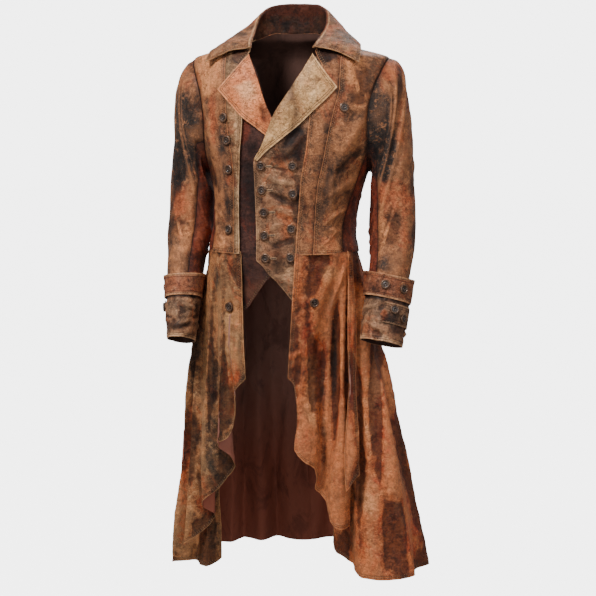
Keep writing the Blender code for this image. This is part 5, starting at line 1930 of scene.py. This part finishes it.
        # The strap's knots: the deep marks are painted shade in their wrinkles.
        knot = Stain.rows(
            (DEEP, 0.25, -0.612, 0.02, 0.014, 1.1), (DEEP, 0.262, -0.64, 0.016, 0.014, 0.9),
            (PALE, 0.22, -0.655, 0.024, 0.014, 0.8), (WARM, 0.236, -0.606, 0.008, 0.012, 0.8),
            (SOOT_AND_SHADE, 0.205, -0.64, 0.01, 0.04, 0.6), (DEEP, -0.236, -0.64, 0.04, 0.009, 0.9),
            (PALE, -0.245, -0.61, 0.03, 0.014, 0.6), (SOOT_AND_SHADE, -0.262, -0.635, 0.014, 0.04, 0.6),
        )
        # Painted shade along the lower cuff's top, under the upper cuff's edge, and a bare worn hem.
        under_edge = Patch.rows(
            (DEEP, 0.5, 0.0, 2.0, 0.16, 1.4), (PALE, 0.5, 1.0, 2.0, 0.1, 0.9),
        )
        first, last = self.cuff_upper[0][0], self.cuff_upper[-1][0]
        low_first, low_last = CUFF_LOWER[0][0], CUFF_LOWER[-1][0]
        strap_lifts = ((STRAP[0], STRAP_LIFT), (STRAP[1], STRAP_LIFT))
        strap_turns = tuple(math.radians(end) for end in self.strap_ends)
        heights = (0.0034, -0.0028, 0.0030, 0.0036, -0.0030, 0.0028, 0.0034, -0.0026, 0.0032)
        folds = Crease.rows(*(
            (i / 9 + 0.04, 0.30 + 0.20 * (i % 3), 24 * (i % 2) - 12, 0.030, 0.006, height, 0.003)
            for i, height in enumerate(heights)
        ))
        return [
            Panel(
                f"sleeve_upper_{word}", self.part(0.0, SLEEVE_END, (-SLEEVE_SEAM, SLEEVE_SEAM), flat),
                (72, 150), reverse, BROWN_LEATHER, (0.245, 0.640), 0.119, held="hung",
                rests_on=(f"front_{word}", f"back_{word}"), sewn=(START, END, TOP),
                creases=self.creases(), ripples=ripples, stains=self.stains(),
            ),
            Panel(
                f"sleeve_under_{word}", self.part(0.0, SLEEVE_END, (SLEEVE_SEAM, whole - SLEEVE_SEAM), flat),
                (36, 150), reverse, RED_LEATHER, (0.125, 0.560), 0.040, held="hung",
                rests_on=(f"sleeve_upper_{word}", f"side_body_{word}"), sewn=(START, END, TOP),
                creases=self.under_creases(), ripples=ripples, stains=self.stains(),
            ),
            Panel(
                f"cuff_upper_{word}", self.part(first, last, (0.0, whole), self.cuff_upper),
                (120, 22), reverse, CUFF_FINISH, (0.400, 0.062),
                0.0210 if self.side is LEFT else 0.0182, rests_on=(f"sleeve_upper_{word}",),
                stitched=(TOP, BOTTOM), ripples=(Ripples(38, 0.040, 0.0010, 1.0, 0.4),),
                patches=Patch.rows((PALE, 0.5, 0.04, 2.0, 0.10, 0.80), (PALE, 0.5, 0.97, 2.0, 0.08, 0.70)),
                thickness=CUFF_LEATHER, ring=True, rows_of_thread=(0.0044,),
            ),
            Panel(
                f"cuff_lower_{word}", self.part(low_first, low_last, (0.0, whole), CUFF_LOWER),
                (120, 34), reverse, GREY_LEATHER, (0.340, 0.104),
                0.0351 if self.side is LEFT else 0.0314, rests_on=(f"sleeve_upper_{word}",),
                stitched=(BOTTOM,), creases=folds, ripples=cuff_ripples, stains=knot,
                patches=under_edge, thickness=CUFF_LEATHER, ring=True, rows_of_thread=(0.0046,),
            ),
            Panel(
                f"cuff_strap_{word}", self.part(*STRAP, strap_turns, strap_lifts),
                (56, 16), reverse, GREY_LEATHER, (0.200, 0.032), 0.0064,
                rests_on=(f"cuff_lower_{word}",), stitched=(TOP, BOTTOM),
                ripples=(Ripples(39, 0.030, 0.0008, 0.8, 0.5),), stains=knot, rows_of_thread=(0.0030,),
            ),
        ]


SKIRT_RIPPLES = (
    Ripples(41, 0.120, 0.0030, 2.4),
    Ripples(42, 0.050, 0.0012, 1.8, 0.5),
    Ripples(43, 0.024, 0.0004),
)


@dataclass
class Skirt:
    """One skirt, hung from the waist seam in the folds of its hem.

    Attributes:
        name: the CAD node that it stands for.
        side: the wearer's side.
        table: angle at the waist, the hem's place and any bow of each thread.
        lift: its distance from the form at the waist, at an angle.
        size: how many parts it is divided into, across and down.
        leather: its finish.
        cut: the width and length that it was cut to.
        area: the cut's area.
        stitched: its topstitched borders.
        stains: its own stains.
        drags: its folds placed on the coat's front.
        sewn: its borders that sink into a seam, with painted shade laid beside them.
    """

    name: str
    side: Side
    table: Table
    lift: Line
    size: tuple[int, int]
    leather: Leather
    cut: tuple[float, float]
    area: float
    stitched: tuple[Border, ...]
    stains: tuple[Stain, ...] = ()
    drags: tuple[Drag, ...] = ()
    sewn: tuple[Border, ...] = (TOP,)

    def surface(self, across: Grid, down: Grid) -> Grid:
        """Its outer face, down bowed threads from the waist seam to the folded hem."""
        hems = np.array([row[1:4] for row in self.table])
        run = run_along(hems, THREAD_GAP)
        rows = [(at, *row, 0.0)[:6] for at, row in zip(run, self.table)]
        angle, x, y, z, bow = np.moveaxis(smooth(rows, across * run[-1]), -1, 0)
        angle = np.radians(angle)
        s = self.side.value
        waist = laid(s * angle, np.full_like(angle, WAIST + WAIST_TUCK), self.lift(angle))
        hem = np.stack([s * x, y, z], axis=-1)
        sway = (down / BOW_HEIGHT) * ((1 - down) / (1 - BOW_HEIGHT)) ** ((1 - BOW_HEIGHT) / BOW_HEIGHT)
        points = waist + (hem - waist) * down[..., None]
        points[..., 0] += s * bow * sway * ramp(0.0, BOW_HEIGHT, down)
        return points

    def panel(self) -> Panel:
        """The skirt's panel."""
        return Panel(
            self.name, self.surface, self.size, self.side is RIGHT, self.leather, self.cut, self.area,
            held="hung",
            rests_on=(f"front_{self.side.word}", f"side_body_{self.side.word}", f"back_{self.side.word}"),
            stitched=self.stitched, sewn=self.sewn, drags=self.drags, lining=SKIRT_INSIDE,
            ripples=SKIRT_RIPPLES, stains=self.stains,
        )


def front_skirt_lift(angle: Grid) -> Grid:
    """The front skirts lie over the back ones."""
    return np.maximum(coat_lift(angle), SKIRT_LIFT_FRONT)


def skirts() -> list[Skirt]:
    """The four skirts and the strip over the left side."""
    edges = (START, BOTTOM)
    return [
        Skirt(
            "skirt_front_left", LEFT, SKIRT_FRONT_LEFT, front_skirt_lift, (120, 90), SKIRT_LEATHER,
            (0.260, 0.640), 0.0949, edges,
            Stain.rows(
                (SOOT_AND_SHADE, 0.112, -0.7, 0.009, 0.15, 0.9), (SOOT_AND_SHADE, 0.09, -0.86, 0.01, 0.12, 0.8),
                (SOOT_AND_SHADE, 0.048, -0.57, 0.014, 0.06, 0.35), (WARM, 0.07, -0.64, 0.02, 0.12, 0.6),
                (PALE, 0.07, -0.76, 0.012, 0.12, 0.6), (PALE, 0.11, -0.52, 0.03, 0.024, 0.6),
            ),
            Drag.rows(
                ((0.146, -0.486), (0.102, -0.62), 0.009, 0.005, 0.004),
                ((0.128, -0.5), (0.096, -0.61), 0.009, -0.004),
                ((0.106, -0.62), (0.098, -0.94), 0.009, 0.0046, 0.003),
                ((0.12, -0.56), (0.114, -0.96), 0.01, -0.006),
                ((0.132, -0.54), (0.134, -1.02), 0.007, 0.0046),
                ((0.143, -0.56), (0.146, -1.04), 0.005, -0.0032),
                ((0.06, -0.56), (0.054, -0.8), 0.01, 0.0028, 0.003),
                ((0.076, -0.64), (0.072, -0.9), 0.008, -0.0022, 0.003),
            ),
        ),
        Skirt(
            "skirt_front_right", RIGHT, SKIRT_FRONT_RIGHT, front_skirt_lift, (126, 90),
            DARK_SKIRT_LEATHER, (0.340, 0.700), 0.1345, edges,
            Stain.rows(
                (SOOT_AND_SHADE, -0.178, -0.93, 0.034, 0.12, 0.8), (SOOT_AND_SHADE, -0.168, -0.73, 0.012, 0.12, 0.65),
                (SOOT_AND_SHADE, -0.094, -0.69, 0.008, 0.06, 0.8), (PALE, -0.122, -0.64, 0.02, 0.1, 0.7),
                (WARM, -0.108, -0.76, 0.016, 0.08, 0.75), (WARM, -0.2, -1.07, 0.04, 0.04, 0.6),
                (SOOT_AND_SHADE, -0.15, -0.54, 0.016, 0.05, 0.6),
            ),
            Drag.rows(
                ((-0.128, -0.484), (-0.094, -0.55), 0.005, -0.003),
                ((-0.112, -0.58), (-0.106, -0.76), 0.008, 0.0036, 0.003),
                ((-0.13, -0.52), (-0.132, -0.86), 0.008, -0.004, 0.003),
                ((-0.15, -0.52), (-0.156, -0.9), 0.009, 0.004, -0.003),
                ((-0.168, -0.56), (-0.182, -1.0), 0.009, -0.004, 0.004),
                ((-0.186, -0.6), (-0.206, -1.04), 0.009, 0.0036),
            ),
        ),
        Skirt(
            "skirt_back_left", LEFT, SKIRT_BACK_LEFT,
            lambda angle: np.full_like(angle, SKIRT_LIFT_BACK), (168, 100), SKIRT_LEATHER,
            (0.900, 0.740), 0.407, edges,
            Stain.rows(
                (SOOT_AND_SHADE, 0.256, -1.0, 0.012, 0.2, 0.5), (WARM, 0.22, -0.9, 0.03, 0.22, 0.45),
                (PALE, 0.2, -0.78, 0.024, 0.12, 0.55), (PALE, 0.19, -1.05, 0.03, 0.11, 0.55),
                (WARM, 0.29, -1.12, 0.03, 0.1, 0.6), (SOOT_AND_SHADE, 0.15, -1.09, 0.012, 0.04, 0.3),
            ),
            Drag.rows(
                ((0.176, -0.64), (0.206, -1.12), 0.012, 0.0046, 0.004),
                ((0.196, -0.64), (0.24, -1.15), 0.012, -0.0046, 0.004),
                ((0.16, -0.7), (0.172, -1.15), 0.01, -0.004), ((0.216, -0.7), (0.276, -1.17), 0.012, 0.004),
            ),
            (TOP, END),
        ),
        Skirt(
            "skirt_back_right", RIGHT, SKIRT_BACK_RIGHT,
            lambda angle: np.full_like(angle, SKIRT_LIFT_BACK), (160, 100), DARK_SKIRT_LEATHER,
            (0.800, 0.750), 0.351, edges,
            Stain.rows(
                (SOOT_AND_SHADE, -0.215, -0.82, 0.02, 0.2, 0.6), (WARM, -0.255, -0.98, 0.02, 0.2, 0.8),
                (PALE, -0.22, -1.15, 0.05, 0.06, 0.55),
            ),
            Drag.rows(
                ((-0.186, -0.6), (-0.246, -1.16), 0.012, 0.004),
                ((-0.17, -0.7), (-0.214, -1.18), 0.011, -0.004),
            ),
            (TOP, END),
        ),
        Skirt(
            "side_strip_left", LEFT, SIDE_STRIP_LEFT,
            lambda angle: np.full_like(angle, SKIRT_LIFT_STRIP), (20, 90), SKIRT_LEATHER,
            (0.040, 0.530), 0.0160, (START, END, BOTTOM),
            (Stain(WARM, 0.150, -0.700, 0.040, 0.200, 0.60),),
        ),
    ]


@dataclass
class Button:
    """A turned horn button with a raised metal rim, a dished face and a thread shank's dimple.

    Attributes:
        radius: its outer radius.
        thick: its thickness at the rim.
        sides: how many faces go round it.
    """

    radius: float = 0.0105
    thick: float = 0.0046
    sides: int = 32

    def model(self) -> tuple[Grid, list[tuple[int, ...]], list[int]]:
        """One button on the floor plane, facing up: its corners, faces and each face's material."""
        alone()
        deep = self.thick * 0.7
        bpy.ops.mesh.primitive_cylinder_add(
            vertices=self.sides, radius=self.radius, depth=deep, location=(0, 0, deep / 2)
        )
        disc = bpy.context.object
        bpy.ops.object.transform_apply(location=True, rotation=True, scale=True)
        bpy.ops.object.mode_set(mode="EDIT")
        bpy.ops.mesh.select_mode(type="FACE")
        bpy.ops.mesh.select_all(action="DESELECT")
        bpy.ops.object.mode_set(mode="OBJECT")
        for face in disc.data.polygons:
            face.select = face.normal.z > 0.9
        bpy.ops.object.mode_set(mode="EDIT")
        for inset, depth in (
            (0.0007, 0.0008), (0.0011, 0.0004), (0.0010, -0.0003), (0.0007, -0.0011),
            (0.0018, -0.0002), (0.0012, 0.0004), (0.0010, 0.0003), (0.0008, -0.0009), (0.0007, -0.0003),
        ):
            bpy.ops.mesh.inset(thickness=inset, depth=depth)
        bpy.ops.mesh.poke()
        bpy.ops.object.mode_set(mode="OBJECT")
        apply(disc, "BEVEL", width=0.0003, segments=2, limit_method="ANGLE", angle_limit=math.radians(50))
        mesh = disc.data
        corners = np.array([v.co for v in mesh.vertices])
        faces = [tuple(face.vertices) for face in mesh.polygons]
        reach = [math.hypot(face.center.x, face.center.y) for face in mesh.polygons]
        kinds = [1 if self.radius * 0.66 < r and face.center.z > self.thick * 0.5 else 0
                 for r, face in zip(reach, mesh.polygons)]
        bpy.data.objects.remove(disc)
        return corners, faces, kinds

    def build(self, shop: Workshop, name: str, model: tuple) -> bpy.types.Object:
        """Sets one button at its CAD node's place, square to the cloth."""
        corners, faces, kinds = model
        middle, turn = placed(shop.frame["nodes"][name])
        mesh = bpy.data.meshes.new(f"horn_{name}")
        mesh.from_pydata((middle + corners @ turn).tolist(), [], faces)
        mesh.materials.append(HORN.material())
        mesh.materials.append(RIM_METAL.material())
        mesh.polygons.foreach_set("material_index", kinds)
        button = bpy.data.objects.new(f"horn_{name}", mesh)
        bpy.context.collection.objects.link(button)
        only(button)
        bpy.ops.object.shade_smooth_by_angle(angle=math.radians(40))
        return shop.finished(button, "horn", name)


def placed(node: bpy.types.Object) -> tuple[Grid, Grid]:
    """Where a button's CAD node lies: the middle of its back, and its directions aside, along and out."""
    points = np.array([node.matrix_world @ v.co for v in node.data.vertices])
    points = np.unique(points.round(6), axis=0)
    centre = points.mean(axis=0)
    _, _, axes = np.linalg.svd(points - centre)
    out = axes[2]
    across = (points - centre) - np.outer((points - centre) @ out, out)
    height = (points - centre) @ out
    wide = np.linalg.norm(across, axis=-1) > 0.9 * np.linalg.norm(across, axis=-1).max()
    if height[wide].mean() > 0:
        out = -out
        height = -height
    back = height.min()
    rim = points[wide]
    middle = rim.mean(axis=0)
    middle = middle + out * (back - (middle - centre) @ out)
    aside = unit(np.cross((0.0, 0.0, 1.0), out))
    return middle, np.stack([aside, np.cross(out, aside), out])


@dataclass
class Buttonholes:
    """The worked buttonholes beside the left row of the waistcoat's buttons.

    Attributes:
        aside: how far a hole's middle lies from its button, to the wearer's left.
        half: half a hole's length.
        thread: the welt's thickness.
    """

    aside: float = 0.0185
    half: float = 0.0072
    thread: float = 0.0016

    def build(self, shop: Workshop, front: Panel, places: list[Grid]) -> bpy.types.Object:
        """Lays a welt and its slit, a dark solid that is painted shade, beside each button, on the
        waistcoat's left front.

        Args:
            shop: what the sub-assemblies share.
            front: the panel that they are cut in.
            places: the buttons' places.

        Returns:
            The piece.
        """
        alone()
        bpy.ops.mesh.primitive_torus_add(
            major_segments=28, minor_segments=6,
            major_radius=self.thread * 1.25, minor_radius=self.thread * 0.55,
        )
        welt = bpy.context.object
        ring = np.array([v.co for v in welt.data.vertices])
        ring_faces = [tuple(face.vertices) for face in welt.data.polygons]
        bpy.data.objects.remove(welt)
        alone()
        # The slit: a flat dark solid, painted shade for the opening.
        bpy.ops.mesh.primitive_uv_sphere_add(segments=20, ring_count=6, radius=self.thread * 1.1)
        slit = bpy.context.object
        gap = np.array([v.co for v in slit.data.vertices]) * (1.0, 0.8, 0.35)
        gap_faces = [tuple(face.vertices) for face in slit.data.polygons]
        stretch = self.half - self.thread * 1.25
        ring[:, 0] += np.sign(ring[:, 0]) * stretch
        gap[:, 0] += np.sign(gap[:, 0]) * stretch
        corners, faces, kinds = [], [], []
        spots = front.points.reshape(-1, 3)
        normals = front.normals.reshape(-1, 3)
        for place in places:
            target = place + (self.aside, 0.0, 0.0)
            near = int(np.argmin(np.linalg.norm((spots - target)[:, (0, 2)], axis=-1)))
            out = normals[near]
            aside = unit(np.cross((0.0, 0.0, 1.0), out))
            turn = np.stack([aside, np.cross(out, aside), out])
            for shape, parts, kind in ((ring, ring_faces, 0), (gap, gap_faces, 1)):
                start = sum(len(c) for c in corners)
                corners.append(spots[near] + out * 0.0003 + shape @ turn)
                faces += [tuple(start + v for v in part) for part in parts]
                kinds += [kind] * len(parts)
        mesh = bpy.data.meshes.new("buttonholes")
        mesh.from_pydata(np.concatenate(corners).tolist(), [], faces)
        mesh.materials.append(THREAD.material())
        mesh.materials.append(SLIT_SHADE.material())
        mesh.polygons.foreach_set("material_index", kinds)
        slit.data = mesh
        slit.name = "buttonholes"
        only(slit)
        bpy.ops.object.mode_set(mode="EDIT")
        bpy.ops.mesh.select_all(action="SELECT")
        bpy.ops.mesh.normals_make_consistent(inside=False)
        bpy.ops.object.mode_set(mode="OBJECT")
        bpy.ops.object.shade_smooth()
        return shop.finished(slit, "leather_grey")


@dataclass
class Studio:
    """A plain pale studio with soft light, and the camera at the photograph's angle.

    Attributes:
        eye: where the camera is.
        turn: the camera's turn to the wearer's left, in degrees.
        dip: how far it looks down, in degrees.
        lens: its focal length in millimetres.
        shift: how far the picture's middle is moved, as a share of its width.
        floor: the floor's height.
        paper: the colour of the sky and floor.
        glow: how bright they are to the camera.
        ambient: how bright they are to the coat.
    """

    eye: tuple[float, float, float] = (1.012, -4.385, -0.105)
    turn: float = 13.0
    dip: float = 6.1
    lens: float = 119.2
    shift: float = 7 / 596
    floor: float = -1.42
    paper: tuple[float, float, float, float] = (1.0, 1.0, 1.0, 1.0)
    glow: float = 4.9
    ambient: float = 0.42

    def build(self) -> None:
        """Makes the camera, the floor, the sky and the lights."""
        self.camera()
        self.backdrop()
        self.sky()
        for name, place, aim, size, power in (
            ("key", (-1.2, -2.5, 2.5), (0.0, 0.0, -0.5), 1.0, 200.0),
            ("low", (0.1, -3.4, -0.9), (0.0, 0.0, -0.95), 0.9, 9.0),
            ("fill", (2.6, -2.4, 0.8), (0.0, 0.0, -0.5), 2.0, 46.0),
            ("back", (0.4, 2.6, 2.2), (0.0, 0.0, -0.4), 2.0, 60.0),
        ):
            self.lamp(name, place, aim, size, power)

    def camera(self) -> None:
        """The camera at the photograph's viewing angle."""
        data = bpy.data.cameras.new("camera")
        data.lens = self.lens
        data.sensor_width = 36.0
        data.shift_x = self.shift
        camera = bpy.data.objects.new("camera", data)
        bpy.context.collection.objects.link(camera)
        turn, dip = math.radians(self.turn), math.radians(self.dip)
        ahead = Vector((-math.sin(turn) * math.cos(dip), math.cos(turn) * math.cos(dip), -math.sin(dip)))
        camera.location = self.eye
        camera.rotation_euler = ahead.to_track_quat("-Z", "Y").to_euler()
        bpy.context.scene.camera = camera

    def backdrop(self) -> None:
        """A wide pale floor, as bright as the sky to the camera."""
        alone()
        bpy.ops.mesh.primitive_plane_add(size=40.0, location=(0.0, 0.0, self.floor))
        floor = bpy.context.object
        floor.name = "floor"
        made, g, shader = new_material("Pale floor")
        g.put(shader.inputs["Base Color"], (0.12, 0.12, 0.12))
        shader.inputs["Roughness"].default_value = 1.0
        shader.inputs["Specular IOR Level"].default_value = 0.0
        shader.inputs["Emission Color"].default_value = self.paper
        seen = g.node("ShaderNodeLightPath").outputs["Is Camera Ray"]
        g.put(shader.inputs["Emission Strength"], g.times(seen, self.glow * 0.98))
        floor.data.materials.append(made)

    def sky(self) -> None:
        """A plain pale sky, brighter behind the coat than on it."""
        world = bpy.data.worlds.new("studio")
        bpy.context.scene.world = world
        world.use_nodes = True
        sky = world.node_tree.nodes["Background"]
        sky.inputs["Color"].default_value = self.paper
        g = Graph(world.node_tree)
        seen = g.node("ShaderNodeLightPath").outputs["Is Camera Ray"]
        strength = g.plus(self.ambient, g.times(seen, self.glow - self.ambient))
        g.put(sky.inputs["Strength"], strength)

    @staticmethod
    def lamp(name: str, place: tuple, aim: tuple, size: float, power: float) -> None:
        """One soft square light."""
        data = bpy.data.lights.new(name, "AREA")
        data.size = size
        data.energy = power
        lamp = bpy.data.objects.new(name, data)
        bpy.context.collection.objects.link(lamp)
        lamp.location = place
        lamp.rotation_euler = (Vector(aim) - Vector(place)).to_track_quat("-Z", "Y").to_euler()


def main() -> None:
    """Builds the coat on its frame, piece by piece."""
    logging.basicConfig(level=logging.INFO, format="%(message)s", stream=sys.stdout)
    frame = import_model()
    Studio().build()
    shop = Workshop(frame, worn_leather_group(), flesh_side_group())
    names = sorted(name for name in frame["nodes"] if "button" in name)
    places = {name: placed(frame["nodes"][name])[0] for name in names}
    shop.calm = [Vector(place) for place in places.values()]
    panels = [*CoatBody(LEFT, EDGE_LEFT, BAND_LEFT).panels()]
    panels += CoatBody(RIGHT, EDGE_RIGHT, BAND_RIGHT).panels()
    panels += Waistcoat().panels()
    panels.append(Lapel(LEFT, LAPEL_LEFT, KHAKI_LEATHER, (0.085, 0.200), 0.0147).panel())
    panels.append(Lapel(RIGHT, LAPEL_RIGHT, PEACH_LEATHER, (0.080, 0.175), 0.0119).panel())
    panels.append(Collar().panel())
    panels += Sleeve(LEFT, SLEEVE_LEFT, CUFF_UPPER_LEFT, STRAP_ENDS_LEFT).panels()
    panels += Sleeve(RIGHT, SLEEVE_RIGHT, CUFF_UPPER_RIGHT, STRAP_ENDS_RIGHT).panels()
    panels += [skirt.panel() for skirt in skirts()]
    for panel in panels:
        panel.build(shop)
    front = next(panel for panel in panels if panel.name == "vest_front_left")
    holes = [place for name, place in places.items() if name.startswith("vest_button_left")]
    Buttonholes().build(shop, front, holes)
    button = Button()
    model = button.model()
    for name in names:
        button.build(shop, name, model)


if __name__ == "__main__":
    main()
